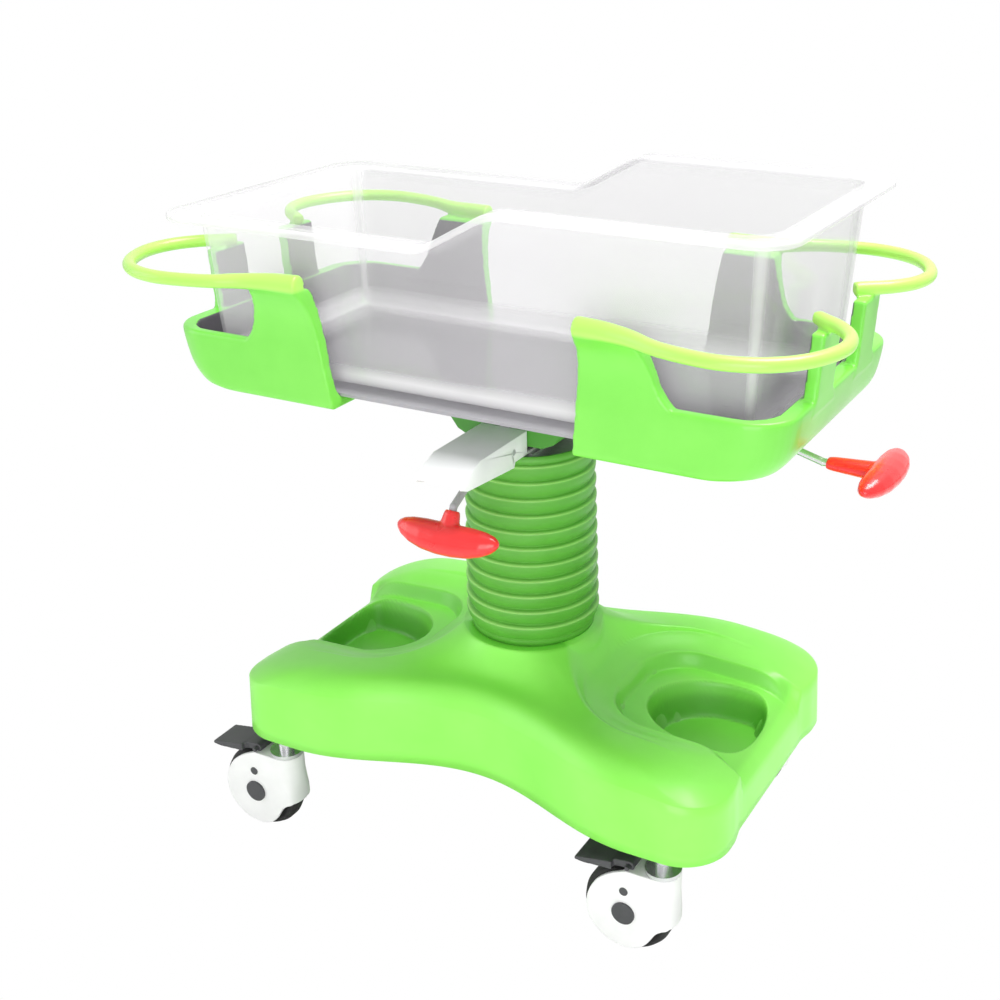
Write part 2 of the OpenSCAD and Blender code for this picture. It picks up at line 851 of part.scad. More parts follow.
module tilt_rod() {
    color("silver")
    difference() {
        union() {
            rod([tilt_pivot, tilt_bend, tilt_neck - [neck_lead, 0, 0],
                tilt_neck + [socket_depth, 0, 0]], lever_rod_d / 2);
            translate(tilt_pivot) {
                y_pin(tilt_ear_r, seat - tilt_ear_y, tilt_ear_y - seat);
                translate([0, 0, -tilt_finger_l]) cylinder(r = lever_rod_d / 2, h = tilt_finger_l);
            }
        }
        translate(tilt_pivot) y_pin(lever_pin_r + fit, -tilt_ear_y, tilt_ear_y);
    }
}

module tilt_handle() {
    translate(tilt_neck + [seat, 0, 0])
        rotate([0, 90, 0])
            rotate([0, 0, 90])
                t_handle(tilt_bar_x - tilt_neck_x - seat);
}

module tilt_bracket() {
    color("gray")
    difference() {
        union() {
            for (s = [0, 1]) mirror([0, s, 0]) {
                translate(tilt_pivot) y_pin(tilt_ear_r, tilt_ear_y, tilt_ear_y + tilt_ear_t);
                translate(tilt_pivot + [-tilt_ear_r, tilt_ear_y, 0])
                    cube([2 * tilt_ear_r, tilt_ear_t, tilt_pin_drop]);
            }
            translate([tilt_pin_x - 2 * tilt_ear_r, -tilt_ear_y - tilt_ear_t, plate_z - bracket_t])
                cube([4 * tilt_ear_r, 2 * (tilt_ear_y + tilt_ear_t), bracket_t]);
        }
        translate(tilt_pivot) y_pin(lever_pin_r + fit, -housing_y, housing_y);
    }
}

module tilt_lever_pin() {
    color("silver")
    translate(tilt_pivot) y_pin(lever_pin_r, -tilt_ear_y - tilt_ear_t, tilt_ear_y + tilt_ear_t);
}

module brake_shoe() {
    link_end = tilt_pin_x - lever_rod_d / 2 - 3 * seat;
    color("gray")
    translate([0, 0, pivot_z]) {
        translate([disc_r + seat, -disc_t / 2, -shoe_w / 2]) cube([shoe_l, disc_t, shoe_w]);
        x_pin(link_r, disc_r + shoe_l - cut, link_end);
    }
}

// Cradle

module pivot_housing() {
    foot_z = pivot_z - housing_drop;
    knee_z = pivot_z - housing_knee;
    side_z = pivot_z + housing_side;
    in = housing_wall;
    color("green")
    difference() {
        along_y(-housing_y, housing_y)
            polygon([[-housing_foot_x, foot_z], [housing_foot_x, foot_z], [housing_knee_x, knee_z],
                [housing_x, side_z], [housing_x, plate_z], [-housing_x, plate_z],
                [-housing_x, side_z], [-housing_knee_x, knee_z]]);
        along_y(in - housing_y, housing_y - in)
            polygon([[in - housing_foot_x, foot_z - cut], [housing_foot_x - in, foot_z - cut],
                [housing_foot_x - in, foot_z + in / 2],
                [housing_knee_x - in, knee_z + in / 2], [housing_x - in, side_z + in / 2],
                [housing_x - in, plate_z - housing_top_gap],
                [in - housing_x, plate_z - housing_top_gap],
                [in - housing_x, side_z + in / 2], [in - housing_knee_x, knee_z + in / 2],
                [in - housing_foot_x, foot_z + in / 2]]);
        translate([0, 0, pivot_z]) {
            y_pin(pin_r + fit, -housing_y - cut, housing_y + cut);
            x_pin(link_r + 2 * seat, 0, housing_x + cut);
        }
    }
}

module bolt_places() {
    for (sx = [-1, 1], sy = [-1, 1], i = [0, 1])
        translate([sx * (tray_bolt_x + i * tray_bolt_step), sy * tray_bolt_y, 0]) children();
}

// Screws on the middle line, with their low heads on the deck
module deck_screw_places() {
    for (sx = [-1, 1]) translate([sx * deck_screw_x, 0, 0]) children();
}

module support_plate() {
    color("dimgray")
    difference() {
        loft([round_ring(plate_x, plate_y, plate_r, plate_z),
            round_ring(plate_x, plate_y, plate_r, plate_z + plate_t)]);
        bolt_places() translate([0, 0, plate_z - cut]) cylinder(r = tray_bolt_r + fit, h = plate_t + 2 * cut);
        deck_screw_places() translate([0, 0, plate_z - cut])
            cylinder(r = tray_bolt_r + fit, h = plate_t + 2 * cut);
    }
}

module cradle_screws() {
    tray_bolts();
    rail_screws();
}

module tray_bolts() {
    color("silver")
    bolt_places() {
        translate([0, 0, tray_z]) cylinder(r = tray_bolt_r, h = tray_floor_t + plate_t);
        translate([0, 0, tray_z - bolt_head_t]) cylinder(r = 2 * tray_bolt_r, h = bolt_head_t, $fn = 6);
    }
    deck_screw_places() {
        translate([0, 0, tray_z + cut]) cylinder(r = tray_bolt_r, h = tray_floor_t + plate_t - cut);
        translate([0, 0, plate_z + plate_t]) cylinder(r = deck_screw_r, h = deck_screw_t);
    }
}

function tray_in(z) = tray_in_x + tray_in_lean_share * (z - tray_z);
function tray_side(z) = tray_half_w + tray_lean_share * (z - tray_z);

module tray_shell() {
    floor_z = tray_z + tray_floor_t;
    lip_z = tray_z + tray_wall_h * (1 - 0.05);
    top_z = tray_z + tray_wall_h;
    end_in = tray_end_x - tray_end_t;
    difference() {
        loft([for (s = tray_profile_shares)
            let (z = tray_z + tray_wall_h * s[0])
            end_ring(tray_in(z), tray_end_x - tray_end_run * (1 - s[1]) - tray_edge_r * s[2],
                tray_side(z) - tray_edge_r * s[2], tray_corner_r, z)]);
        loft([
            end_ring(0, end_in - 2 * tray_edge_r, tray_side(floor_z) - tray_wall_t - tray_edge_r,
                tray_corner_r - tray_wall_t, floor_z),
            end_ring(0, end_in, tray_side(lip_z) - tray_wall_t, tray_corner_r - tray_wall_t, lip_z),
            end_ring(0, end_in + tray_edge_r, tray_side(top_z) - tray_wall_t + tray_edge_r,
                tray_corner_r - tray_wall_t + tray_edge_r, top_z + cut)]);
        bolt_places() translate([0, 0, tray_z - cut])
            cylinder(r = tray_bolt_r + fit, h = tray_floor_t + 2 * cut);
        deck_screw_places() translate([0, 0, tray_z + cut - seat])
            cylinder(r = tray_bolt_r + fit, h = tray_floor_t);
    }
}

fin_foot_z = tray_z + tray_wall_h * 0.95;
fin_out_x = tray_in(fin_z) + fin_top_l;

module fin() {
    loft([for (t = fin_shares)
        let (z = fin_foot_z + (fin_z - fin_foot_z) * t, f = pow(t, fin_flare_power),
            out = fin_out_x + fin_run * (1 - t) + fin_fillet * pow(max(0, 1 - t / fin_fillet_share), 2))
        box_ring(tray_in(z), out, tray_side(z) - tray_wall_t + fin_flare_in * f,
            tray_side(z) + fin_flare * f, z)]);
}

module post() {
    loft([for (t = post_shares)
        let (z = fin_foot_z + (fin_z - fin_foot_z) * t,
            w = post_w / 2 + post_flare * pow(max(0, 1 - 3 * t), 2),
            x1 = tray_end_x + post_lean * t)
        box_ring(x1 - post_t, x1, post_y - w, post_y + w, z)]);
}

module tray() {
    color("lawngreen") {
        tray_shell();
        for (s = [0, 1]) mirror([0, s, 0]) {
            fin();
            post();
        }
    }
}

module basin_pads() {
    color("dimgray")
    for (sx = [-1, 1], sy = [-1, 1])
        translate([sx * foot_pad_x, sy * foot_pad_y, plate_z + plate_t])
            cylinder(r = foot_pad_r, h = foot_pad_t);
}

// Rails

// Point on a smooth line through four points
function smooth(a, b, c, d, t) = 0.5 * (2 * b + (c - a) * t + (2 * a - 5 * b + 4 * c - d) * t * t
    + (3 * b - a - 3 * c + d) * t * t * t);
rail_path = [for (s = rail_path_shares) [fin_out_x + (rail_out_x - fin_out_x) * s[0],
    post_y + (rail_out_y - post_y) * s[1]]];
rail_last = len(rail_path) - 1;
rail_line = concat([for (i = [0:rail_last - 1], k = [0:rail_steps - 1])
    smooth(rail_path[max(0, i - 1)], rail_path[i], rail_path[i + 1],
        rail_path[min(rail_last, i + 2)], k / rail_steps)], [rail_path[rail_last]]);
rail_end = len(rail_line) - 1;

function rail_radius(i) = let (s = min(1, i / (rail_end * rail_root_share)))
    rail_r + (rail_root_r - rail_r) * (1 + cos(180 * s)) / 2;

module rail() {
    seat_z = fin_z + seat;
    color("lawngreen")
    difference() {
        loft([for (i = [0:rail_end])
            let (d = rail_line[min(rail_end, i + 1)] - rail_line[max(0, i - 1)],
                n = [-d[1], d[0]] / norm(d), r = rail_radius(i))
            [for (j = [0:rail_sides - 1])
                let (a = 360 * (j + 0.5) / rail_sides)
                [rail_line[i][0] + r * cos(a) * n[0], rail_line[i][1] + r * cos(a) * n[1],
                    rail_z + r * sin(a)]]]);
        translate([0, 0, seat_z - 2 * rail_root_d])
            cube([fin_out_x + seat, rail_out_y, 2 * rail_root_d]);
        translate([tray_end_x - post_t, 0, seat_z - 2 * rail_root_d])
            cube([post_t + post_lean + seat, post_y + post_w / 2 + seat, 2 * rail_root_d]);
        rail_screw_places() translate([0, 0, fin_z]) cylinder(r = rail_screw_r + fit, h = rail_r);
    }
}

module rail_screw_places() {
    translate([fin_out_x - fin_top_l / 2, rail_line[rail_steps][1], 0]) children();
    translate([tray_end_x + post_lean - post_t / 2, post_y + rail_r / 2, 0]) children();
}

module rail_screws() {
    color("silver")
    for (sx = [0, 1], sy = [0, 1])
        mirror([sx, 0, 0]) mirror([0, sy, 0]) rail_screw_places()
            translate([0, 0, fin_z + seat]) cylinder(r = rail_screw_r, h = rail_r - 2 * seat);
}

// Basin

// Side view of all that lies under the rim's top surface, down to the height z0
module rim_side(z0) {
    polygon([[-basin_l, z0], [basin_l, z0], [basin_l, basin_high_z], [step_high_x, basin_high_z],
        [step_low_x, basin_low_z], [-basin_l, basin_low_z]]);
}

module rim_outline(in, z) {
    loft([round_ring(basin_l / 2 - in, basin_w / 2 - in, rim_corner_r - in, z),
        round_ring(basin_l / 2 - in, basin_w / 2 - in, rim_corner_r - in,
            basin_high_z + 2 * (basin_z - z) + cut)]);
}

// The part of its child that lies within a depth t of the rim's top surface
module rim_plate(t) {
    intersection() {
        along_y(-basin_w, basin_w)
            difference() {
                rim_side(basin_z);
                translate([0, -t]) rim_side(basin_z);
            }
        children();
    }
}

// Tub between two heights, with its faces moved in by a distance
function tub_ring(in, z) = let (s = (basin_high_z - z) / basin_high_h)
    round_ring(basin_top_x - basin_draft * s - in, basin_top_y - basin_draft * s - in,
        basin_bottom_r - in, z);

module basin() {
    color("whitesmoke", 0.4)
    difference() {
        union() {
            intersection() {
                loft([tub_ring(0, basin_z), tub_ring(0, basin_high_z)]);
                along_y(-basin_w, basin_w) rim_side(basin_z - cut);
            }
            rim_plate(basin_wall) rim_outline(0, basin_z);
            rim_plate(rim_lip_h)
                difference() {
                    rim_outline(0, basin_z);
                    rim_outline(basin_wall, basin_z - cut);
                }
        }
        loft([tub_ring(basin_wall, basin_z + basin_wall), tub_ring(basin_wall, basin_high_z + cut)]);
    }
}

// Casters, each drawn with its axle at the origin and its stem at the trail

module caster_at(sx, sy) {
    translate([sx * stem_x - caster_trail, sy * stem_y, wheel_r]) children();
}

module cover_shape() {
    difference() {
        union() {
            circle(r = wheel_r - cover_trim);
            polygon([[0, 0], [-wheel_r / 3, wheel_r - 2 * cover_trim], [pedal_pin_x - ear_r, crown_top],
                [caster_trail - crown_half, crown_top], [caster_trail + crown_half, crown_top],
                [caster_trail + crown_half - ring_edge, wheel_r / 2], [wheel_r, 0]]);
            translate([pedal_pin_x, wheel_r + pedal_pin_rise]) circle(r = ear_r);
        }
        difference() {
            translate([wheel_r, -wheel_r / 3]) circle(r = wheel_r * 0.9);
            translate([-wheel_r / 4, wheel_r / 5]) circle(r = wheel_r * 1.02);
            translate([0, 0]) square([2 * wheel_r, 2 * wheel_r]);
        }
        difference() {
            translate([-wheel_r * 1.35, wheel_r / 3]) circle(r = wheel_r * 0.62);
            translate([0, -wheel_r / 9]) circle(r = wheel_r * 0.86);
        }
    }
}

module caster_housing() {
    axle_hole = axle_r + fit;
    color("white")
    difference() {
        union() {
            for (s = [0, 1]) mirror([0, s, 0])
                along_y(side_in_y, side_in_y + side_t) cover_shape();
            along_y(-side_in_y - cut, side_in_y + cut)
                difference() {
                    polygon([[caster_trail - crown_half, crown_top], [caster_trail + crown_half, crown_top],
                        [caster_trail + crown_half - ring_edge, wheel_r / 2],
                        [wheel_r + tyre_clear, 0], [0, 0]]);
                    circle(r = wheel_r + tyre_clear);
                    translate([0, -wheel_r]) square([2 * wheel_r, wheel_r + ring_r / 2]);
                }
        }
        y_pin(axle_hole, -wheel_d, wheel_d);
        translate([0, 0, screw_rise]) y_pin(screw_r + fit, -wheel_d, wheel_d);
        translate([pedal_pin_x, 0, wheel_r + pedal_pin_rise]) y_pin(pedal_pin_r + fit, -wheel_d, wheel_d);
        translate([caster_trail, 0, 0]) cylinder(r = stem_r + fit, h = wheel_d);
    }
}

module caster_axle() {
    out = side_in_y + side_t;
    color("dimgray") {
        y_pin(axle_r, -out, out);
        translate([pedal_pin_x, 0, wheel_r + pedal_pin_rise]) y_pin(pedal_pin_r, -out, out);
        for (s = [0, 1]) mirror([0, s, 0]) {
            y_pin(cap_r, out, out + cap_t);
            translate([0, 0, screw_rise]) y_pin(screw_r, side_in_y, out + cap_t / 3);
        }
    }
}

module caster_wheel() {
    color("gainsboro")
    difference() {
        union() {
            y_pin(wheel_r - tyre_t - fit, -web_t, web_t);
            y_pin(hub_r, -tyre_w / 2, tyre_w / 2);
        }
        y_pin(axle_r + fit, -wheel_d, wheel_d);
    }
}

module caster_tyre() {
    half = tyre_w / 2;
    r0 = wheel_r - tyre_t;
    color("black")
    rotate([90, 0, 0])
        rotate_extrude($fn = 72)
            polygon([[r0, -half * 0.8], [r0 + tyre_t / 2, -half], [wheel_r - tyre_t / 5, -half * 0.8],
                [wheel_r, -half * 0.35], [wheel_r, half * 0.35], [wheel_r - tyre_t / 5, half * 0.8],
                [r0 + tyre_t / 2, half], [r0, half * 0.8]]);
}

module caster_pedal() {
    z0 = wheel_r + pedal_pin_rise;
    tip_z = wheel_r - pedal_tip_t / 2;
    color("dimgray")
    difference() {
        union() {
            translate([pedal_pin_x, 0, z0]) y_pin(pedal_boss_r, seat - side_in_y, side_in_y - seat);
            along_y(-side_in_y + seat, side_in_y - seat)
                polygon([[pedal_pin_x, z0 - pedal_boss_r / 2], [pedal_pin_x, z0 + pedal_boss_r],
                    [-pedal_reach / 3, z0 + pedal_boss_r / 2], [-pedal_reach / 3, z0 - pedal_boss_r]]);
            along_y(-pedal_w / 2, pedal_w / 2)
                polygon([[-pedal_reach / 4, z0 + pedal_boss_r / 2 + 1], [-pedal_reach, tip_z + pedal_tip_t],
                    [-pedal_reach, tip_z + pedal_tip_t / 3], [-pedal_reach * 0.8, tip_z + pedal_tip_t / 5],
                    [-pedal_reach / 4, z0 - pedal_boss_r]]);
        }
        translate([pedal_pin_x, 0, z0]) y_pin(pedal_pin_r + fit, -wheel_d, wheel_d);
    }
}

module caster_stem() {
    top = frame_z + socket_h - socket_lift - wheel_r;
    foot = sqrt(pow(wheel_r + tyre_clear, 2) - pow(caster_trail - stem_r, 2));
    color("silver")
    translate([caster_trail, 0, 0]) {
        translate([0, 0, foot + tyre_clear]) cylinder(r = stem_r, h = top - foot - tyre_clear);
        translate([0, 0, crown_top + seat]) cylinder(r = ring_r, h = ring_t);
    }
}

placed() base_cover();
placed() base_frame();
placed() column_tube();
placed() column_bolts();
placed() column_bush();
placed() lift_cylinder();
placed() lift_rod();
placed() inner_tube();
placed() inner_bush();
placed() bellows();
placed() bellows_clamp_lower();
placed() bellows_clamp_upper();
placed() column_head();
placed() tilt_pin();
placed() tilt_disc();
placed() lever_bracket();
placed() bracket_bolts();
placed() lever_pin();
placed() height_rod();
placed() height_handle();
placed() tilt_rod();
placed() tilt_handle();
placed() tilt_bracket();
placed() tilt_lever_pin();
placed() brake_shoe();
placed() pivot_housing();
placed() support_plate();
placed() cradle_screws();
placed() basin_pads();
placed() basin();
placed() tray();  // tray_right
placed() mirror([1, 0, 0]) tray();  // tray_left
placed() rail();  // rail_br
placed() mirror([0, 1, 0]) rail();  // rail_fr
placed() mirror([1, 0, 0]) rail();  // rail_bl
placed() mirror([1, 0, 0]) mirror([0, 1, 0]) rail();  // rail_fl
placed() caster_at(-1, -1) caster_stem();  // caster_fl_stem
placed() caster_at(-1, -1) caster_housing();  // caster_fl_housing
placed() caster_at(-1, -1) caster_axle();  // caster_fl_axle
placed() caster_at(-1, -1) caster_wheel();  // caster_fl_wheel
placed() caster_at(-1, -1) caster_tyre();  // caster_fl_tyre
placed() caster_at(-1, -1) caster_pedal();  // caster_fl_pedal
placed() caster_at(1, -1) caster_stem();  // caster_fr_stem
placed() caster_at(1, -1) caster_housing();  // caster_fr_housing
placed() caster_at(1, -1) caster_axle();  // caster_fr_axle
placed() caster_at(1, -1) caster_wheel();  // caster_fr_wheel
placed() caster_at(1, -1) caster_tyre();  // caster_fr_tyre
placed() caster_at(1, -1) caster_pedal();  // caster_fr_pedal
placed() caster_at(-1, 1) caster_stem();  // caster_bl_stem
placed() caster_at(-1, 1) caster_housing();  // caster_bl_housing
placed() caster_at(-1, 1) caster_axle();  // caster_bl_axle
placed() caster_at(-1, 1) caster_wheel();  // caster_bl_wheel
placed() caster_at(-1, 1) caster_tyre();  // caster_bl_tyre
placed() caster_at(-1, 1) caster_pedal();  // caster_bl_pedal
placed() caster_at(1, 1) caster_stem();  // caster_br_stem
placed() caster_at(1, 1) caster_housing();  // caster_br_housing
placed() caster_at(1, 1) caster_axle();  // caster_br_axle
placed() caster_at(1, 1) caster_wheel();  // caster_br_wheel
placed() caster_at(1, 1) caster_tyre();  // caster_br_tyre
placed() caster_at(1, 1) caster_pedal();  // caster_br_pedal
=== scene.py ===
import json
import math

import bmesh
import bpy
import numpy as np
from mathutils import Matrix, Vector


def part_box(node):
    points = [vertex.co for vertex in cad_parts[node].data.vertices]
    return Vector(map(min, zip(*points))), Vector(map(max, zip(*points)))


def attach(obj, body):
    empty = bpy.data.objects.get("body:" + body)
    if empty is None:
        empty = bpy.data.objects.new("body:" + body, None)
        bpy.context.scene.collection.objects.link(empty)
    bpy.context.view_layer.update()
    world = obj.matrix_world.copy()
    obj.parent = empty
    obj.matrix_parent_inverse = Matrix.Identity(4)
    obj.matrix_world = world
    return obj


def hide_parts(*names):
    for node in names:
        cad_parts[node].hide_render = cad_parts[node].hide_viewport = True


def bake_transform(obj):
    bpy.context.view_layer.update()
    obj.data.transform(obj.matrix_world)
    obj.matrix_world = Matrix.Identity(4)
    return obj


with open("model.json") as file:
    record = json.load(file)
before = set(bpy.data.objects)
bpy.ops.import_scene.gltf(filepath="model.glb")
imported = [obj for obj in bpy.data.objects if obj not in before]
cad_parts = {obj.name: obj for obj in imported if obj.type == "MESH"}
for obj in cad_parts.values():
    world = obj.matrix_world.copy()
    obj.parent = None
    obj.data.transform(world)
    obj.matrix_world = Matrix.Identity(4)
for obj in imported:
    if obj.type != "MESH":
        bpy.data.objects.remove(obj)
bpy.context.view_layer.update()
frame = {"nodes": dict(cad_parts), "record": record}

# Sizes are in millimetres, with X = 0 and Y = 0 on the column's axis, and go to the frame's metres
# when a mesh is made. The screws' inputs, the stage and the lamps are in metres.
MM = 0.001
sleeve_low, sleeve_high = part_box("bellows")
AXIS_X = (sleeve_low[0] + sleeve_high[0]) / 2 / MM
AXIS = np.array([AXIS_X, 0, 0])
CASTERS = ("fl", "fr", "bl", "br")


def size_of(node):
    """Box of a CAD node in the script's millimetres, from the column's axis."""
    low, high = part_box(node)
    return np.array(low) / MM - AXIS, np.array(high) / MM - AXIS


# Meshes

def to_frame(points):
    return (np.asarray(points, float) + AXIS) * MM


def new_object(name, data):
    obj = bpy.data.objects.new(name, data)
    bpy.context.collection.objects.link(obj)
    return obj


def new_mesh(name, points, faces):
    mesh = bpy.data.meshes.new(name)
    mesh.from_pydata(to_frame(points).tolist(), [], faces)
    mesh.validate()
    mesh.update()
    return new_object(name, mesh)


def all_smooth(mesh):
    mesh.polygons.foreach_set("use_smooth", [True] * len(mesh.polygons))


def vertex_values(mesh, kind):
    """One row a vertex of its co or normal, in the mesh's own metres."""
    values = np.empty(len(mesh.vertices) * 3)
    mesh.vertices.foreach_get(kind, values)
    return values.reshape(-1, 3)


def ring_faces(rows, cols, around):
    """Quads between neighbouring rings of points, and from the last ring to the first if they go around."""
    i, j = np.meshgrid(np.arange(rows if around else rows - 1), np.arange(cols), indexing="ij")
    a, b = i * cols, (i + 1) % rows * cols
    k = (j + 1) % cols
    return np.stack([a + j, a + k, b + k, b + j], axis=-1).reshape(-1, 4).tolist()


def loft(name, rings):
    """Closed solid through rings that rise and run anticlockwise from above."""
    rings = np.asarray(rings, float)
    rows, cols = rings.shape[:2]
    faces = ring_faces(rows, cols, False)
    faces.append(list(range(cols))[::-1])
    faces.append([(rows - 1) * cols + j for j in range(cols)])
    return new_mesh(name, rings.reshape(-1, 3), faces)


def hollow_skin(name, rings):
    """Closed skin with a hole through it: the last ring joins the first."""
    rings = np.asarray(rings, float)
    obj = new_mesh(name, rings.reshape(-1, 3), ring_faces(*rings.shape[:2], True))
    all_smooth(obj.data)
    return obj


def smooth_shade(obj, angle):
    """Smooth faces, with the edges that turn by the angle or more left sharp."""
    mesh = obj.data
    all_smooth(mesh)
    bm = bmesh.new()
    bm.from_mesh(mesh)
    limit = math.radians(angle)
    for edge in bm.edges:
        if len(edge.link_faces) == 2:
            edge.smooth = edge.calc_face_angle(0.0) < limit
    bm.to_mesh(mesh)
    bm.free()
    mesh.update()


def applied(obj):
    """Gives obj the mesh that its modifiers make and drops the modifiers."""
    depsgraph = bpy.context.evaluated_depsgraph_get()
    mesh = bpy.data.meshes.new_from_object(obj.evaluated_get(depsgraph))
    obj.modifiers.clear()
    obj.data = mesh
    return obj


def joined(name, objects):
    """One object with the meshes of several, which are removed."""
    bm = bmesh.new()
    for obj in objects:
        bm.from_mesh(obj.data)
    mesh = bpy.data.meshes.new(name)
    bm.to_mesh(mesh)
    bm.free()
    for obj in objects:
        bpy.data.objects.remove(obj)
    return new_object(name, mesh)


def cut_with(obj, tool):
    """Takes the tool's solid out of obj and removes the tool."""
    mod = obj.modifiers.new("cut", "BOOLEAN")
    mod.operation = "DIFFERENCE"
    mod.solver = "EXACT"
    mod.object = tool
    applied(obj)
    bpy.data.objects.remove(tool)
    return obj


def moulded(obj, voxel, rounds):
    """Melts the solids of obj into one skin with soft edges, as a moulding has."""
    mod = obj.modifiers.new("skin", "REMESH")
    mod.mode = "VOXEL"
    mod.voxel_size = voxel * MM
    mod.use_smooth_shade = True
    soft = obj.modifiers.new("soft", "SMOOTH")
    soft.factor = 0.5
    soft.iterations = rounds
    applied(obj)
    all_smooth(obj.data)
    return obj


def cad_copy(name, node):
    """Merged copy of a CAD node's mesh."""
    obj = new_object(name, frame["nodes"][node].data.copy())
    bm = bmesh.new()
    bm.from_mesh(obj.data)
    bmesh.ops.remove_doubles(bm, verts=bm.verts, dist=1e-6)
    bm.to_mesh(obj.data)
    bm.free()
    obj.data.materials.clear()
    return obj


def dress(obj, body, material, nodes):
    """Gives a piece its finish and its body, and hides the CAD nodes that it stands for."""
    obj.data.materials.clear()
    obj.data.materials.append(material)
    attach(obj, body)
    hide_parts(*nodes)


def paint(obj, name, values):
    """Stores one value a vertex, for a material to read."""
    layer = obj.data.attributes.new(name, "FLOAT", "POINT")
    layer.data.foreach_set("value", np.asarray(values, np.float32))


def ease(x):
    """Soft rise from 0 to 1 as x goes from 0 to 1."""
    x = np.clip(x, 0, 1)
    return x * x * (3 - 2 * x)


def soft_min(a, b, k):
    """The lower of two heights, with the crease between them rounded where they differ by less than k."""
    h = np.clip(0.5 + 0.5 * (b - a) / k, 0, 1)
    return b + (a - b) * h - k * h * (1 - h)


def soft_max(a, b, k):
    return -soft_min(-a, -b, k)


# Materials

def linear(code):
    """sRGB hex to linear RGBA."""
    values = [int(code[i:i + 2], 16) / 255 for i in (1, 3, 5)]
    return tuple(v / 12.92 if v <= 0.04045 else ((v + 0.055) / 1.055) ** 2.4 for v in values) + (1,)


def add(tree, kind, inputs=None, settings=None, **sockets):
    """Adds a node with its settings and inputs, each of them a value or another node's output."""
    node = tree.nodes.new(kind)
    for key, value in (settings or {}).items():
        setattr(node, key, value)
    named = {key.replace("_", " "): value for key, value in sockets.items()}
    for key, value in {**named, **(inputs or {})}.items():
        if isinstance(value, bpy.types.NodeSocket):
            tree.links.new(value, node.inputs[key])
        else:
            node.inputs[key].default_value = value
    return node


def shader(name, **sockets):
    """Material with a Principled shader, its tree and the object coordinates."""
    mat = bpy.data.materials.new(name)
    mat.use_nodes = True
    tree = mat.node_tree
    main = tree.nodes["Principled BSDF"]
    for key, value in sockets.items():
        main.inputs[key.replace("_", " ")].default_value = value
    place = add(tree, "ShaderNodeTexCoord").outputs["Object"]
    return mat, tree, main, place


def mottle(tree, main, place, dark, light, scale):
    """Colour that drifts between two values over a real distance; scale is in drifts a metre."""
    noise = add(tree, "ShaderNodeTexNoise", {"Vector": place}, Scale=scale, Detail=4.0, Roughness=0.55)
    ramp = add(tree, "ShaderNodeValToRGB", {"Fac": noise.outputs["Fac"]})
    for stop, position, code in zip(ramp.color_ramp.elements, (0.25, 0.75), (dark, light)):
        stop.position = position
        stop.color = linear(code)
    tree.links.new(ramp.outputs["Color"], main.inputs["Base Color"])


def tinted(tree, main, name, socket, value):
    """Blends a socket's colour or value towards another one where the mesh's named attribute says so."""
    mark = add(tree, "ShaderNodeAttribute", settings={"attribute_name": name})
    colour = socket == "Base Color"
    mix = add(tree, "ShaderNodeMix", {0: mark.outputs["Fac"]}, {"data_type": "RGBA" if colour else "FLOAT"})
    # The mix node's two inputs and its output, by their places for a colour or for a value.
    a, b, out = (6, 7, 2) if colour else (2, 3, 0)
    links = main.inputs[socket].links
    if links:
        tree.links.new(links[0].from_socket, mix.inputs[a])
    else:
        mix.inputs[a].default_value = main.inputs[socket].default_value
    mix.inputs[b].default_value = linear(value) if colour else value
    tree.links.new(mix.outputs[out], main.inputs[socket])


def roughen(tree, main, place, low, high, scale):
    """Roughness that drifts between two values."""
    noise = add(tree, "ShaderNodeTexNoise", {"Vector": place}, Scale=scale, Detail=3.0)
    spread = add(tree, "ShaderNodeMapRange", {"Value": noise.outputs["Fac"]}, From_Min=0.3, From_Max=0.7,
                 To_Min=low, To_Max=high)
    tree.links.new(spread.outputs["Result"], main.inputs["Roughness"])


def grain(tree, main, place, scale, strength, distance):
    """Fine bumps; scale is in grains a metre, and distance is their height in metres."""
    noise = add(tree, "ShaderNodeTexNoise", {"Vector": place}, Scale=scale, Detail=2.0)
    bump = add(tree, "ShaderNodeBump", {"Height": noise.outputs["Fac"]}, Strength=strength, Distance=distance)
    tree.links.new(bump.outputs["Normal"], main.inputs["Normal"])


def lime_abs(name, dark, light, coat):
    # Moulded ABS, pigmented lime, from a finely etched mould: satin, with faint flow mottling. Marks on the
    # mesh paint light and shade into it: grey painted shade on a tray's faces turned to the basin, a deeper
    # lime as painted shade in a cup and on the recess's step, and a paler lime as a painted highlight along
    # the top of a rail.
    mat, tree, main, place = shader(name, IOR=1.53, Coat_Weight=coat, Coat_Roughness=0.2)
    mottle(tree, main, place, dark, light, 9.0)
    tinted(tree, main, "basin_side_shade", "Base Color", "#545157")
    tinted(tree, main, "hollow", "Base Color", "#66b83f")
    tinted(tree, main, "rail_highlight", "Base Color", "#b6f566")
    roughen(tree, main, place, 0.36, 0.46, 14.0)
    grain(tree, main, place, 1500.0, 0.12, 0.0003)
    return mat


def green_bellows():
    # Moulded PVC sleeve, dark green, with a soft sheen; a paler band on each pleat's ridge is a painted
    # highlight.
    mat, tree, main, place = shader("green_pvc_sleeve", IOR=1.5, Coat_Weight=0.1, Coat_Roughness=0.4)
    mottle(tree, main, place, "#54a130", "#60b03a", 16.0)
    tinted(tree, main, "ridge_highlight", "Base Color", "#a8e67c")
    roughen(tree, main, place, 0.45, 0.56, 22.0)
    grain(tree, main, place, 900.0, 0.1, 0.0003)
    return mat


def green_abs():
    # Moulded ABS of the head's housing, painted a darker green as painted shade under the basin.
    mat, tree, main, place = shader("dark_green_abs_shaded", IOR=1.53)
    mottle(tree, main, place, "#3f8a26", "#479630", 12.0)
    roughen(tree, main, place, 0.42, 0.52, 20.0)
    grain(tree, main, place, 1500.0, 0.1, 0.0003)
    return mat


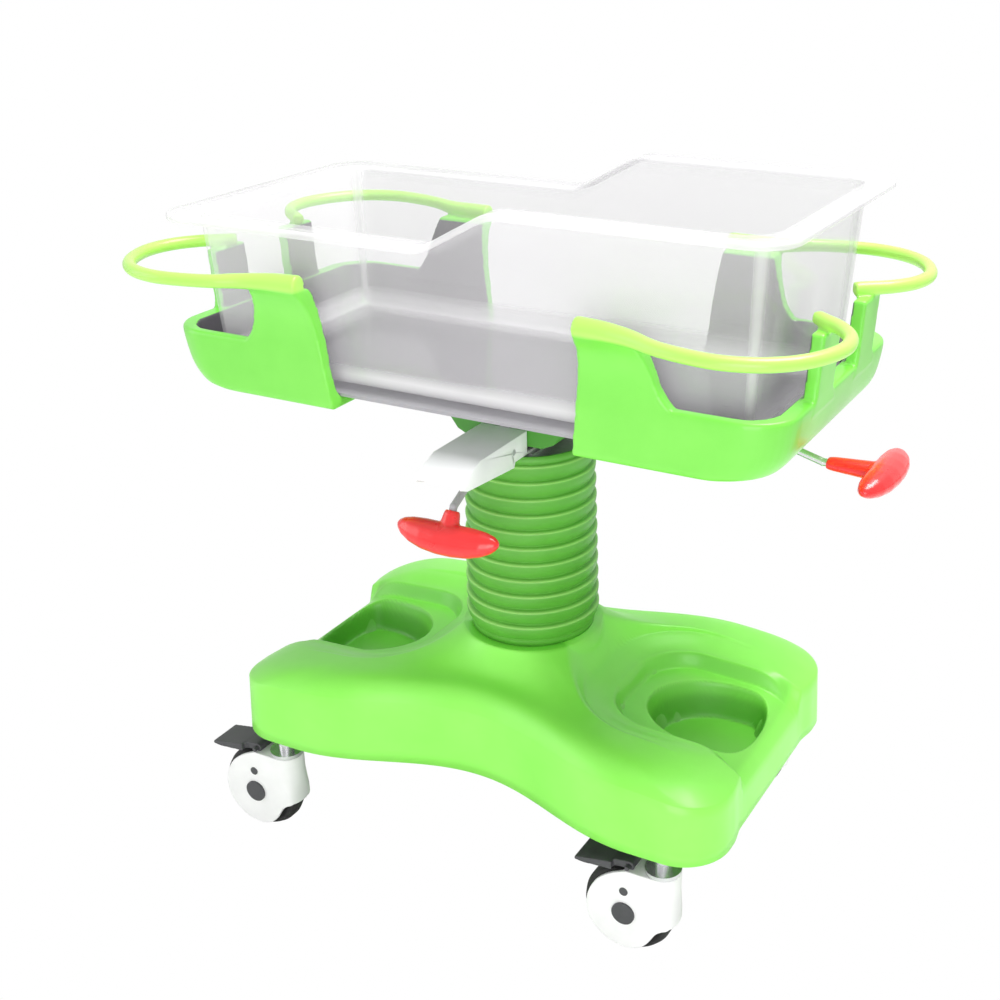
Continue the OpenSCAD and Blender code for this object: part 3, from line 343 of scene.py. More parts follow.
def clear_pmma():
    # Thermoformed clear acrylic: smooth and faintly hazed. Its floor is painted darker grey and less clear as
    # painted shade, and its edges are painted white as painted highlights.
    mat, tree, main, place = shader("clear_acrylic", IOR=1.49, Alpha=0.2)
    mottle(tree, main, place, "#eae8eb", "#f3f1f4", 6.0)
    tinted(tree, main, "floor", "Base Color", "#7b797d")
    tinted(tree, main, "floor", "Alpha", 0.5)
    tinted(tree, main, "edge", "Base Color", "#ffffff")
    tinted(tree, main, "edge", "Alpha", 0.9)
    roughen(tree, main, place, 0.06, 0.12, 8.0)
    return mat


def red_abs():
    # Polished moulded ABS, signal red, with soft highlights.
    mat, tree, main, place = shader("red_abs", IOR=1.53, Coat_Weight=0.4, Coat_Roughness=0.12)
    mottle(tree, main, place, "#ee1c20", "#f8282a", 20.0)
    roughen(tree, main, place, 0.25, 0.34, 26.0)
    grain(tree, main, place, 1800.0, 0.05, 0.0002)
    return mat


def white_nylon():
    # Moulded nylon caster covers, white, with a soft sheen.
    mat, tree, main, place = shader("white_nylon", IOR=1.53)
    mottle(tree, main, place, "#eeeeee", "#f7f7f7", 30.0)
    roughen(tree, main, place, 0.32, 0.42, 30.0)
    grain(tree, main, place, 1600.0, 0.06, 0.0002)
    return mat


def dark_nylon():
    # Glass-filled nylon, dark grey, with a matte moulded grain.
    mat, tree, main, place = shader("dark_grey_nylon", IOR=1.53)
    mottle(tree, main, place, "#3d3d40", "#4b4b4e", 60.0)
    roughen(tree, main, place, 0.5, 0.62, 60.0)
    grain(tree, main, place, 1800.0, 0.2, 0.0003)
    return mat


def tyre_rubber():
    # Thermoplastic rubber tread, black, dulled by floor dust.
    mat, tree, main, place = shader("tyre_rubber", IOR=1.5)
    mottle(tree, main, place, "#141414", "#232323", 90.0)
    roughen(tree, main, place, 0.6, 0.78, 70.0)
    grain(tree, main, place, 1200.0, 0.25, 0.0003)
    return mat


def black_nylon():
    # Black acetal bushes and rubber pads.
    mat, tree, main, place = shader("black_acetal", IOR=1.48)
    mottle(tree, main, place, "#161616", "#202020", 80.0)
    roughen(tree, main, place, 0.4, 0.55, 60.0)
    return mat


def grey_wheel():
    # Moulded polypropylene wheel centre, mid grey.
    mat, tree, main, place = shader("grey_polypropylene", IOR=1.49)
    mottle(tree, main, place, "#9b9b9d", "#a9a9ab", 60.0)
    roughen(tree, main, place, 0.45, 0.55, 60.0)
    return mat


def chrome():
    # Chromium plate on turned steel: bright, with very fine turning marks.
    mat, tree, main, place = shader("chrome_plate", Metallic=0.8)
    mottle(tree, main, place, "#cfcfd2", "#dcdcde", 40.0)
    roughen(tree, main, place, 0.16, 0.24, 50.0)
    return mat


def zinc():
    # Zinc-plated steel: grey, slightly mottled by the plating.
    mat, tree, main, place = shader("zinc_plated_steel", Metallic=0.55)
    mottle(tree, main, place, "#b4b6b8", "#c6c8ca", 120.0)
    roughen(tree, main, place, 0.3, 0.42, 90.0)
    return mat


def anodised():
    # Anodised aluminium tube: pale, satin, even.
    mat, tree, main, place = shader("anodised_aluminium", Metallic=1.0)
    mottle(tree, main, place, "#c9cacc", "#d4d5d7", 30.0)
    roughen(tree, main, place, 0.28, 0.36, 60.0)
    return mat


def grey_coat(name, dark, light):
    # Powder-coated steel, grey, with faint orange peel about a millimetre across.
    mat, tree, main, place = shader(name, IOR=1.5, Coat_Weight=0.2, Coat_Roughness=0.3)
    mottle(tree, main, place, dark, light, 25.0)
    roughen(tree, main, place, 0.34, 0.44, 30.0)
    grain(tree, main, place, 900.0, 0.15, 0.0003)
    return mat


def black_coat():
    # Powder-coated steel, black, satin.
    mat, tree, main, place = shader("black_powder_coat", IOR=1.5)
    mottle(tree, main, place, "#1a1a1b", "#242425", 40.0)
    roughen(tree, main, place, 0.4, 0.52, 40.0)
    grain(tree, main, place, 900.0, 0.15, 0.0003)
    return mat


# The base and the trays share one lime plastic in two copies: the base's is painted lighter as painted light,
# and the trays' darker as painted shade.
LIME = lime_abs("lime_abs_base_lightened", "#8bf052", "#97f861", 0.15)
TRAY_LIME = lime_abs("lime_abs_trays_darkened", "#76dc43", "#83e650", 0.35)
SLEEVE = green_bellows()
DARK_GREEN = green_abs()
CLEAR = clear_pmma()
RED = red_abs()
WHITE = white_nylon()
DARK = dark_nylon()
TYRE = tyre_rubber()
BLACK = black_nylon()
WHEEL = grey_wheel()
CHROME = chrome()
ZINC = zinc()
ALUMINIUM = anodised()
# The grey powder coat in two copies: the darker one, on the grey-painted parts with the deck plate among
# them, is partly their own grey and partly painted shade under the basin; the near-white one on the lever
# bracket is painted light where the basin shades it.
GREY_COAT = grey_coat("grey_powder_coat_darkened", "#a3a1a6", "#adabb0")
PALE_COAT = grey_coat("pale_powder_coat_lightened", "#f0f0f2", "#f7f7f9")
BLACK_COAT = black_coat()

SLOT_FINISH = {
    "lime_plastic": LIME, "green_plastic": DARK_GREEN, "green_rubber": SLEEVE, "clear_plastic": CLEAR,
    "white_plastic": WHITE, "grey_plastic": WHEEL, "dark_plastic": DARK, "black_plastic": BLACK,
    "red_plastic": RED, "tyre": TYRE, "black_rubber": BLACK, "chrome": CHROME, "zinc": ZINC,
    "aluminium": ALUMINIUM, "grey_paint": GREY_COAT, "black_steel": BLACK_COAT}


def finish_cad_nodes():
    """Gives each CAD node the finish of its slot in the record."""
    for part in frame["record"]["subparts"]:
        obj = frame["nodes"][part["node"]]
        finish = SLOT_FINISH[part["material_slot"]]
        for slot in obj.material_slots:
            slot.material = finish
        if not obj.material_slots:
            obj.data.materials.append(finish)


# Base cover

cover_low, cover_high = size_of("base_cover")
FOOT_X = cover_high[0]
FOOT_Y = cover_high[1]
COVER_Z = cover_low[2]
COLLAR_Z = cover_high[2]
COLLAR_R = 99
COLLAR_HOLE = 56
COLLAR_EDGE = 1.5
COVER_WALL = 4
# Outline: an end that is straight in its middle and eased into the round corner, and a waisted long side.
END_INSET = 5
END_X = FOOT_X - END_INSET
END_HALF = 112
END_EASE = 38
FOOT_R = 66
WAIST_Y = 165
WAIST_X = 260
# The wall leans in by a small share of the way to the collar, and its top edge falls towards the ends.
DRAFT = 0.012
WALL_H = 95
SHOULDER_H = 30
EDGE_DROP = 16
EDGE_DROP_X = 220
# Where the recess breaks through the wall, the edge is rounded over this run and height. The rounding
# starts where the edge lies this far under the undished one, and is full over the range below that.
BREAK_RUN = 9
BREAK_DROP = 5
BREAK_FROM = 8
BREAK_RANGE = 12
# Recess at each end: its floor's height over the foot at its inner end and near the cover's end, where it
# falls away over the last stretch, and a step round it that flares out slowly.
RECESS_X = 164
RECESS_PAST = 160
RECESS_HALF = 93
RECESS_R = 62
RECESS_IN = 91
RECESS_OUT = 82
RECESS_END = 48
RECESS_END_RUN = 76
RECESS_STEP = 15
RECESS_STEP_H = 20
RECESS_FLARE_H = 11
RECESS_FLARE_RUN = 42
RECESS_CLIMB_FROM = 52
RECESS_CLIMB = 1.4
RECESS_SOFT = 7.0
# D-shaped cup in the recess, squarer towards the cover's end.
CUP_X = 285
CUP_IN = 98
CUP_OUT = 64
CUP_HALF = 80
CUP_DEPTH = 50
CUP_SLOPE = 3.4
CUP_LIP_H = 3
CUP_FLOOR_SOFT = 10.0
CUP_EDGE_SOFT = 6.0
CUP_TOP = COVER_Z + (RECESS_IN + RECESS_OUT) / 2


def cover_outline(count):
    """Plan outline of the cover, anticlockwise, with points that are closer at the ends."""
    near_end, closer = FOOT_X - 60, 1.8
    s = np.linspace(0, 1, 20)[1:]
    y = np.linspace(0, END_HALF, 12)
    quarter = [np.stack([np.full(len(y), END_X), y], 1)]
    quarter.append(np.stack([END_X + END_INSET * ease(s), END_HALF + END_EASE * s], 1))
    a = np.radians(np.linspace(0, 90, 24))
    quarter.append(np.stack([FOOT_X - FOOT_R + FOOT_R * np.cos(a), FOOT_Y - FOOT_R + FOOT_R * np.sin(a)], 1))
    s = np.linspace(1, 0, 40)
    quarter.append(np.stack([WAIST_X * s, WAIST_Y + (FOOT_Y - WAIST_Y) * (1 - np.cos(np.pi * s)) / 2], 1))
    quarter = np.concatenate(quarter)
    half = np.concatenate([quarter, quarter[-2::-1] * [-1, 1]])
    full = np.concatenate([half, half[-2:0:-1] * [1, -1], half[:1]])
    middle = (full[1:] + full[:-1]) / 2
    weight = np.where(np.abs(middle[:, 0]) > near_end, closer, 1.0)
    length = np.concatenate([[0], np.cumsum(np.hypot(*np.diff(full, axis=0).T) * weight)])
    where = np.arange(count) / count * length[-1]
    return np.stack([np.interp(where, length, full[:, i]) for i in (0, 1)], 1)


def recess_inside(x, y):
    """Distance inside the recess's floor, a rectangle with rounded corners, negative outside."""
    x1 = FOOT_X + RECESS_PAST
    cx, hx = (RECESS_X + x1) / 2, (x1 - RECESS_X) / 2
    qx, qy = np.abs(x - cx) - hx + RECESS_R, np.abs(y) - RECESS_HALF + RECESS_R
    outside = np.hypot(np.maximum(qx, 0), np.maximum(qy, 0))
    return RECESS_R - outside - np.minimum(np.maximum(qx, qy), 0)


def cup_inside(x, y):
    """About the distance inside the D-shaped cup, negative outside."""
    a = np.linspace(-np.pi, np.pi, 721)
    c = np.cos(a)
    plan_x = np.where(c > 0, CUP_OUT * np.abs(c) ** 0.5, CUP_IN * c)
    plan_y = CUP_HALF * np.sin(a)
    angle = np.unwrap(np.arctan2(plan_y, plan_x))
    reach = np.interp(np.arctan2(y, x - CUP_X), angle, np.hypot(plan_x, plan_y))
    return reach - np.hypot(x - CUP_X, y)


def recess_rise(out):
    """Height over the recess's floor at a distance out from its edge: a soft step, then a slow flare."""
    step = RECESS_STEP_H * ease((out + 1) / (RECESS_STEP - 1))
    flare = RECESS_FLARE_H * ease(np.maximum(out - RECESS_STEP, 0) / RECESS_FLARE_RUN)
    return step + flare + RECESS_CLIMB * np.maximum(out - RECESS_CLIMB_FROM, 0)


def cover_height(x, y, top, drop):
    """Height of the moulded top less drop: the dome, dished by the recess and the cup at each end."""
    middle, cup_reach, no_cup = 60, 30, 1e3
    end_past, end_power, side_past, side_fade = 1.1, 2.5, 9, 16
    x = np.abs(x)
    floor = COVER_Z + RECESS_IN - (RECESS_IN - RECESS_OUT) * (x - RECESS_X) / (END_X - RECESS_X)
    dished = soft_min(top, floor + recess_rise(-recess_inside(x, y)), RECESS_SOFT)
    end = np.clip((x - END_X + RECESS_END_RUN) / RECESS_END_RUN, 0, end_past)
    fall = end ** end_power * (RECESS_OUT - RECESS_END)
    dished = dished - fall * ease((RECESS_HALF + RECESS_STEP + side_past - np.abs(y)) / side_fade)
    cup = cup_inside(x, y)
    bowl_wall = floor + CUP_LIP_H - (cup + 1) * CUP_SLOPE
    bowl = soft_max(np.full_like(x, CUP_TOP - CUP_DEPTH), bowl_wall, CUP_FLOOR_SOFT)
    cupped = soft_min(dished, np.where(cup > -cup_reach, bowl, no_cup), CUP_EDGE_SOFT)
    return np.where(x > middle, cupped, top) - drop


def dome(t, x):
    """Height of the undished top at a share t of the way from the edge at x to the collar."""
    crease = COVER_Z + WALL_H
    fall = EDGE_DROP * (np.maximum(np.abs(x) - EDGE_DROP_X, 0) / (FOOT_X - EDGE_DROP_X)) ** 2
    shoulder = SHOULDER_H * (1 - (1 - t) ** 6)
    rise = (COLLAR_Z - crease - SHOULDER_H) * t ** 5
    return crease + shoulder + rise - fall * (1 - t) ** 2


def cover_skin(outline, inset, shares, wall_rows):
    """Rings of one skin of the cover, from its foot up and in to the collar."""
    reach = np.hypot(*outline.T)
    edge = outline * (1 - inset / reach)[:, None]
    angle = np.arctan2(outline[:, 1] / FOOT_Y, outline[:, 0] / FOOT_X)
    collar = (COLLAR_R - inset) * np.stack([np.cos(angle), np.sin(angle)], 1)
    rings = []
    for t in shares:
        u = t * (1 - DRAFT) + DRAFT
        plan = edge * (1 - u) + collar * u
        z = cover_height(plan[:, 0], plan[:, 1], dome(t, outline[:, 0]), inset)
        near = np.clip(1 - np.hypot(*(plan - edge).T) / BREAK_RUN, 0, 1)
        broken = np.clip((dome(0, outline[:, 0]) - BREAK_FROM - z) / BREAK_RANGE, 0, 1)
        z = z - BREAK_DROP * broken * (1 - np.sqrt(1 - near ** 2))
        rings.append(np.column_stack([plan, z]))
    first = rings[0]
    walls = []
    for s in np.arange(wall_rows) / wall_rows:
        plan = edge * (1 - s) + first[:, :2] * s
        walls.append(np.column_stack([plan, COVER_Z + (first[:, 2] - COVER_Z) * s]))
    return walls + rings


def cover_shade(points, level):
    """Share of painted shade, a deeper lime, at each point, in the cups and on the recess's step; level is 1
    on level faces.
    """
    x, y, z = np.abs(points[:, 0]), points[:, 1], points[:, 2]
    # The painted shade deepens down a cup's wall, over about 8 mm from its edge, and is half as much on its
    # floor.
    within = ease((cup_inside(x, y) + 3) / 8)
    depth = (CUP_TOP - z) / CUP_DEPTH
    cup = within * np.clip(2.2 * depth, 0, 1) * (1 - 0.5 * np.clip((level - 0.75) / 0.2, 0, 1))
    # The painted shade on the step is half as deep. It fades out over 40 mm at the recess's inner end, 10 mm
    # at the cover's end and 22 mm at the sides.
    beside = ease((x - RECESS_X + 24) / 40) * ease((FOOT_X - 18 - x) / 10)
    beside = beside * ease((RECESS_HALF + 34 - np.abs(y)) / 22)
    step = 0.5 * beside * np.clip((0.95 - level) / 0.3, 0, 1) * (z > COVER_Z + RECESS_END + 2)
    return np.maximum(cup, step)


def make_base_cover():
    count = 720
    outline = cover_outline(count)
    # Shares of the way to the collar, closest at the edge and at the collar.
    fine = np.concatenate([np.linspace(0, 0.12, 16)[:-1], np.linspace(0.12, 0.78, 78)[:-1],
                           np.linspace(0.78, 1, 16)])
    outer = cover_skin(outline, 0, fine, 5)
    inner = cover_skin(outline, COVER_WALL, np.linspace(0, 1, 20), 2)
    angle = np.arctan2(outer[-1][:, 1], outer[-1][:, 0])
    lip = [np.column_stack([r * np.cos(angle), r * np.sin(angle), np.full(count, COLLAR_Z)])
           for r in (COLLAR_R - COLLAR_EDGE, COLLAR_HOLE)]
    rings = outer + lip + [lip[-1] - [0, 0, COVER_WALL]] + inner[::-1]
    obj = hollow_skin("base_cover_moulding", rings)
    level = vertex_values(obj.data, "normal")[:, 2]
    # Painted shade: a deeper lime in the cups and on the recess's step.
    paint(obj, "hollow", cover_shade(np.concatenate(rings), level))
    dress(obj, "base", LIME, ["base_cover"])


# Bellows

BELLOWS_FOOT_R = 93.6
BELLOWS_TOP_R = 88.6
BELLOWS_WALL = 2.5
PLEATS = 11
PLEAT_DEPTH = 7.0
PLEAT_DEPTH_LOST = 1.7
CUFF_H = 10
CUFF_IN = 5.5
CUFF_TOP_IN = 4.5
# Shares of a pleat's height: its belly, the step at its shoulder, and the middle and width of the painted
# highlight on its ridge.
PLEAT_BELLY = 0.8
PLEAT_STEP = 0.2
PLEAT_HIGHLIGHT = 0.86
PLEAT_HIGHLIGHT_W = 0.05


def bellows_profile(z0, z1):
    """Radius, height and share of painted highlight along the sleeve's section, up its outside and down its
    inside.

    Each pleat swells slowly upwards and steps in at its shoulder, where a paler band is painted on as a
    highlight. The pleats get a little shallower towards the top.
    """
    closer_from = 0.78
    turns = np.concatenate([np.linspace(0, closer_from, 12)[:-1], np.linspace(closer_from, 1, 12)[:-1]])
    u = np.concatenate([turns + i for i in range(PLEATS)] + [[PLEATS]])
    s = u / PLEATS
    part = u % 1
    belly = (1 - np.clip(part / PLEAT_BELLY, 0, 1)) ** 2
    step = ease((part - PLEAT_BELLY) / PLEAT_STEP) ** 1.3
    depth = (PLEAT_DEPTH - PLEAT_DEPTH_LOST * s) * np.maximum(belly, step)
    r = BELLOWS_FOOT_R + (BELLOWS_TOP_R - BELLOWS_FOOT_R) * s - depth
    z = z0 + CUFF_H + (z1 - z0 - 2 * CUFF_H) * s
    ridge_highlight = np.exp(-((part - PLEAT_HIGHLIGHT) / PLEAT_HIGHLIGHT_W) ** 2)
    cuff_r, neck_r = BELLOWS_FOOT_R - CUFF_IN, BELLOWS_TOP_R - CUFF_TOP_IN
    outer = [(cuff_r - 2, z0, 0), (cuff_r - 1, z0 + CUFF_H * 0.7, 0)] + list(zip(r, z, ridge_highlight))
    outer += [(BELLOWS_TOP_R - CUFF_IN + 1, z1 - CUFF_H * 0.9, 0), (neck_r, z1 - CUFF_H * 0.7, 0)]
    outer.append((neck_r, z1, 0))
    inner = [(a - BELLOWS_WALL, b, 0) for a, b, _ in outer[::-1][::3]]
    inner[0] = (outer[-1][0] - BELLOWS_WALL, z1, 0)
    inner[-1] = (outer[0][0] - BELLOWS_WALL, z0, 0)
    return np.array(outer + inner)


def make_bellows():
    z0, z1 = sleeve_low[2] / MM, sleeve_high[2] / MM
    r, z, ridge_highlight = bellows_profile(z0, z1).T
    a = np.linspace(0, 2 * np.pi, 120, endpoint=False)
    rings = np.stack([np.outer(r, np.cos(a)), np.outer(r, np.sin(a)), np.outer(z, np.ones(len(a)))], -1)
    obj = hollow_skin("bellows_sleeve", rings)
    # Painted highlight: a paler band along each pleat's ridge.
    paint(obj, "ridge_highlight", np.repeat(ridge_highlight, len(a)))
    obj.data.materials.append(SLEEVE)
    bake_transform(obj)
    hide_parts("bellows")


# Trays and rails

def spline(points, steps):
    """Points on a smooth line through the given ones."""
    p = np.asarray(points, float)
    p = np.concatenate([p[:1], p, p[-1:]])
    t = np.linspace(0, 1, steps, endpoint=False)[:, None]
    out = []
    for a, b, c, d in zip(p, p[1:], p[2:], p[3:]):
        out.append(0.5 * (2 * b + (c - a) * t + (2 * a - 5 * b + 4 * c - d) * t ** 2
                          + (3 * b - a - 3 * c + d) * t ** 3))
    return np.concatenate(out + [p[-1:]])


def quarter_turn(cx, cy, r, start):
    """Points of a quarter circle, anticlockwise from a start in degrees."""
    a = np.radians(start + np.linspace(0, 90, 10))
    return np.stack([cx + r * np.cos(a), cy + r * np.sin(a)], 1)


def end_ring(x0, x1, half, r, z):
    """Ring of a block, square inboard and round outboard."""
    plan = np.concatenate([[[x0, -half]], quarter_turn(x1 - r, r - half, r, 270),
                           quarter_turn(x1 - r, half - r, r, 0), [[x0, half]]])
    return np.column_stack([plan, np.full(len(plan), z)])


def box_ring(x0, x1, y0, y1, z):
    return np.array([[x0, y0, z], [x1, y0, z], [x1, y1, z], [x0, y1, z]])


# Half the basin's rim, which the trays are made to fit.
BASIN_HALF_L = 425
BASIN_HALF_W = 211.5

tray_low = size_of("tray_right")[0]
TRAY_Z = tray_low[2]
TRAY_IN_X = tray_low[0]
TRAY_END_X = BASIN_HALF_L + 5
TRAY_END_RUN = 44
TRAY_HALF_W = BASIN_HALF_W - 11
TRAY_FLOOR = 13.5
TRAY_FLOOR_Z = TRAY_Z + TRAY_FLOOR
TRAY_WALL_H = 78.5
TRAY_WALL = 17
TRAY_END = 26
TRAY_CORNER_R = 56
TRAY_EDGE = 4
TRAY_LEAN = 0.06
TRAY_IN_LEAN = 0.117
# Outside of the tray from its foot to the top of its wall: share of the height, how far the end has come
# out, and how much of the edge's rounding is left.
TRAY_PROFILE = [[0, 0, 1], [0.05, 0.28, 0.3], [0.11, 0.46, 0], [0.3, 0.74, 0], [0.55, 0.9, 0],
                [0.95, 1, 0], [1, 1, 1]]
# Inside of the tray: share of the height over its floor, and how far in the wall stands there.
WELL_PROFILE = [(0, 10), (0.05, 4), (0.15, 0), (1, -4)]
# A fin rises from each side wall, and a post from each half of the end wall, both from inside that wall.
FIN_H = 157.5
FIN_FOOT_Z = TRAY_Z + TRAY_WALL_H * 0.8
FIN_TOP_Z = TRAY_Z + FIN_H
FIN_TOP_L = 74
FIN_NARROWS = 30
FIN_FOOT_FLARE = 22
FIN_FLARE_SHARE = 0.45
FIN_LEAN_IN = 10
FIN_LEAN_OUT = 25
POST_Y = 75
POST_W = 60
POST_FOOT_FLARE = 9
POST_LEAN = 6
RAIL_R = 8.5
RAIL_ROOT_R = 12.5
RAIL_ROOT_SHARE = 0.26
RAIL_SINK = 0.5
RAIL_OUT_X = 53
RAIL_OUT_Y = 56.5
# The painted highlight along the rails' tops starts this far under the fins' tops and is full over this run.
HIGHLIGHT_UNDER = 2
HIGHLIGHT_RUN = 6
# A rail's route in shares of its reach, outwards along X from the fin's top and along Y from the post.
RAIL_PATH = [[-0.34, 0.767], [-0.163, 0.785], [0, 0.835], [0.172, 0.93], [0.358, 0.985], [0.544, 1],
             [0.73, 0.94], [0.879, 0.803], [0.972, 0.611], [1, 0.43], [0.963, 0.254], [0.87, 0.109],
             [0.767, 0.02], [0.7, -0.04]]


def tray_in(z):
    """X of the tray's leaning inboard face."""
    return TRAY_IN_X + TRAY_IN_LEAN * (z - TRAY_Z)


def tray_side(z):
    """Half the tray's width, which grows with its height."""
    return TRAY_HALF_W + TRAY_LEAN * (z - TRAY_Z)


def tray_shell():
    """Floor and walls of a tray: a block with a round end, hollowed by the well that the basin sits in."""
    least_rise, past_top = 0.3, 2
    block = []
    for s, run, edge in spline(TRAY_PROFILE, 6):
        z = TRAY_Z + TRAY_WALL_H * min(s, 1)
        if block and z - block[-1][0][2] < least_rise:
            continue
        block.append(end_ring(tray_in(z), TRAY_END_X - TRAY_END_RUN * (1 - run) - TRAY_EDGE * edge,
                              tray_side(z) - TRAY_EDGE * edge, TRAY_CORNER_R, z))
    shell = loft("shell", block)
    well = []
    for s, back in WELL_PROFILE:
        z = TRAY_FLOOR_Z + (TRAY_Z + TRAY_WALL_H + past_top - TRAY_FLOOR_Z) * s
        well.append(end_ring(0, TRAY_END_X - TRAY_END - back, tray_side(z) - TRAY_WALL - back,
                             TRAY_CORNER_R - TRAY_WALL, z))
    return cut_with(shell, loft("well", well))


def tray_fin(side):
    """Fin that rises from a side wall, narrows from its flared foot and curls outwards under its rail."""
    rings = []
    for t in np.linspace(0, 1, 24):
        z = FIN_FOOT_Z + (FIN_TOP_Z - FIN_FOOT_Z) * t
        x1 = tray_in(FIN_TOP_Z) + FIN_TOP_L + FIN_NARROWS * (1 - t)
        x1 += FIN_FOOT_FLARE * max(0, 1 - t / FIN_FLARE_SHARE) ** 2
        ring = box_ring(tray_in(z), x1, tray_side(z) - TRAY_WALL + FIN_LEAN_IN * t ** 4,
                        tray_side(z) + FIN_LEAN_OUT * t ** 4, z)
        rings.append(ring if side > 0 else (ring * [1, -1, 1])[::-1])
    return loft("fin", rings)


def tray_post(side):
    """Post that rises from the end wall on a flared foot."""
    rings = []
    for t in np.linspace(0, 1, 16):
        z = FIN_FOOT_Z + (FIN_TOP_Z - FIN_FOOT_Z) * t
        half = POST_W / 2 + POST_FOOT_FLARE * max(0, 1 - 3 * t) ** 2
        x1 = TRAY_END_X + POST_LEAN * t
        rings.append(box_ring(x1 - TRAY_WALL, x1, side * POST_Y - half, side * POST_Y + half, z))
    return loft("post", rings)


def tray_rail(side):
    """Bar from a fin round the tray's corner to the post, thicker where it grows out of the fin."""
    start = np.array([tray_in(FIN_TOP_Z) + FIN_TOP_L, POST_Y])
    reach = np.array([BASIN_HALF_L + RAIL_OUT_X, BASIN_HALF_W + RAIL_OUT_Y]) - start
    line = spline(start + reach * RAIL_PATH, 10)
    way = np.gradient(line, axis=0)
    way /= np.hypot(*way.T)[:, None]
    across = np.stack([-way[:, 1], way[:, 0]], 1)
    s = np.clip(np.arange(len(line)) / (len(line) - 1) / RAIL_ROOT_SHARE, 0, 1)
    radius = RAIL_R + (RAIL_ROOT_R - RAIL_R) * (1 + np.cos(np.pi * s)) / 2
    a = np.linspace(0, 2 * np.pi, 28, endpoint=False)
    rings = []
    for p, n, r in zip(line, across, radius):
        ring = np.column_stack([p[0] + r * np.cos(a) * n[0], (p[1] + r * np.cos(a) * n[1]) * side,
                                FIN_TOP_Z + RAIL_R - RAIL_SINK + r * np.sin(a)])
        rings.append(ring if side > 0 else ring[::-1])
    return loft("rail", rings)


def tray_basin_side_shade(mesh):
    """Share of painted shade at each vertex: grey on the faces turned to the basin, below the rails."""
    facing, near_z, near_side, near_end, off_end = 0.5, 3, 6, 12, 20
    x, y, z = (vertex_values(mesh, "co") / MM - AXIS).T
    nx, ny, nz = vertex_values(mesh, "normal").T
    between = (z > TRAY_FLOOR_Z - near_z) & (z < FIN_TOP_Z - near_z)
    at_side = (np.abs(y) > TRAY_HALF_W - TRAY_WALL - near_side) & (x < TRAY_END_X - off_end)
    inner_side = (-ny * np.sign(y) > facing) & at_side
    inner_end = (nx < -facing) & (x > TRAY_END_X - TRAY_END - near_end)
    floor = (nz > facing) & (z < TRAY_FLOOR_Z + near_z + 1)
    return (between & (inner_side | inner_end | floor)).astype(float)


def make_tray(name, node, rails, mirrored):
    solids = [tray_shell()]
    for side in (1, -1):
        solids += [tray_fin(side), tray_post(side), tray_rail(side)]
    skin = moulded(joined(name, solids), voxel=2.4, rounds=5)
    # Painted shade: grey on the faces turned to the basin, below the rails.
    paint(skin, "basin_side_shade", tray_basin_side_shade(skin.data))
    co = vertex_values(skin.data, "co")
    # Painted highlight: a paler lime along the tops of the rails.
    paint(skin, "rail_highlight", ease((co[:, 2] / MM - TRAY_Z - FIN_H + HIGHLIGHT_UNDER) / HIGHLIGHT_RUN))
    if mirrored:
        co[:, 0] = 2 * AXIS_X * MM - co[:, 0]
        skin.data.vertices.foreach_set("co", co.ravel())
        skin.data.flip_normals()
    dress(skin, "cradle", TRAY_LIME, [node] + rails)


# Basin

basin_low, basin_high = size_of("basin")
BASIN_Z = basin_low[2]
BASIN_TOP = basin_high[2]
BASIN_DEPTH = BASIN_TOP - BASIN_Z
BASIN_WALL = 4
BASIN_DRAFT = 21
# The rim is low over X below STEP_LOW_X and high over X above STEP_HIGH_X.
BASIN_STEP = 50
STEP_LOW_X = -20
STEP_HIGH_X = 67
STEP_SOFT = 9.0
RIM_FLANGE = 28.5
RIM_LIP = 9
RIM_EDGE_R = 3
RIM_EDGE_SHARE = 0.1
RIM_R = 47
RIM_TURN_R = 2
RIM_TURN_INNER_R = 5
TUB_R = 40
TUB_FOOT_R = 20
TUB_FOOT_INNER_R = 16
# Rings that lie lower than this over the basin's foot are painted greyer and less clear, as painted shade on
# its floor.
TUB_GREY_H = 14


def round_plan(hx, hy, r):
    """Rounded rectangle with fixed counts of points, and its outward normals."""
    points, normals = [], []
    corners = [(hx - r, hy - r), (r - hx, hy - r), (r - hx, r - hy), (hx - r, r - hy)]
    for i, (cx, cy) in enumerate(corners):
        a = np.radians(90 * i + np.linspace(0, 90, 17))
        n = np.stack([np.cos(a), np.sin(a)], 1)
        points.append([cx, cy] + r * n)
        normals.append(n)
        end = np.array(corners[(i + 1) % 4]) + r * n[-1]
        s = np.linspace(0, 1, 92 if i % 2 == 0 else 30)[1:-1, None]
        points.append(points[-1][-1] * (1 - s) + end * s)
        normals.append(np.repeat(n[-1:], len(s), 0))
    return np.concatenate(points), np.concatenate(normals)


def rim_z(x):
    """Height of the rim: low at one end and high at the other, with a ramp between."""
    slope = BASIN_STEP / (STEP_HIGH_X - STEP_LOW_X)
    ramp = BASIN_TOP - BASIN_STEP + (x - STEP_LOW_X) * slope
    low = np.full_like(x, BASIN_TOP - BASIN_STEP)
    return soft_min(soft_max(ramp, low, STEP_SOFT), np.full_like(x, BASIN_TOP), STEP_SOFT)


TUB, TUB_NORMAL = round_plan(BASIN_HALF_L - RIM_FLANGE, BASIN_HALF_W - RIM_FLANGE, TUB_R)
RIM = round_plan(BASIN_HALF_L, BASIN_HALF_W, RIM_R)[0]
# 1 at each point of a ring, to give one value to all of it.
FULL = np.ones(len(TUB))


def wall_ring(z, inset):
    """Ring in the tub's leaning wall, set in from its outside."""
    lean = BASIN_DRAFT * (BASIN_TOP - z) / BASIN_DEPTH
    return np.column_stack([TUB - TUB_NORMAL * (lean + inset)[:, None], z])


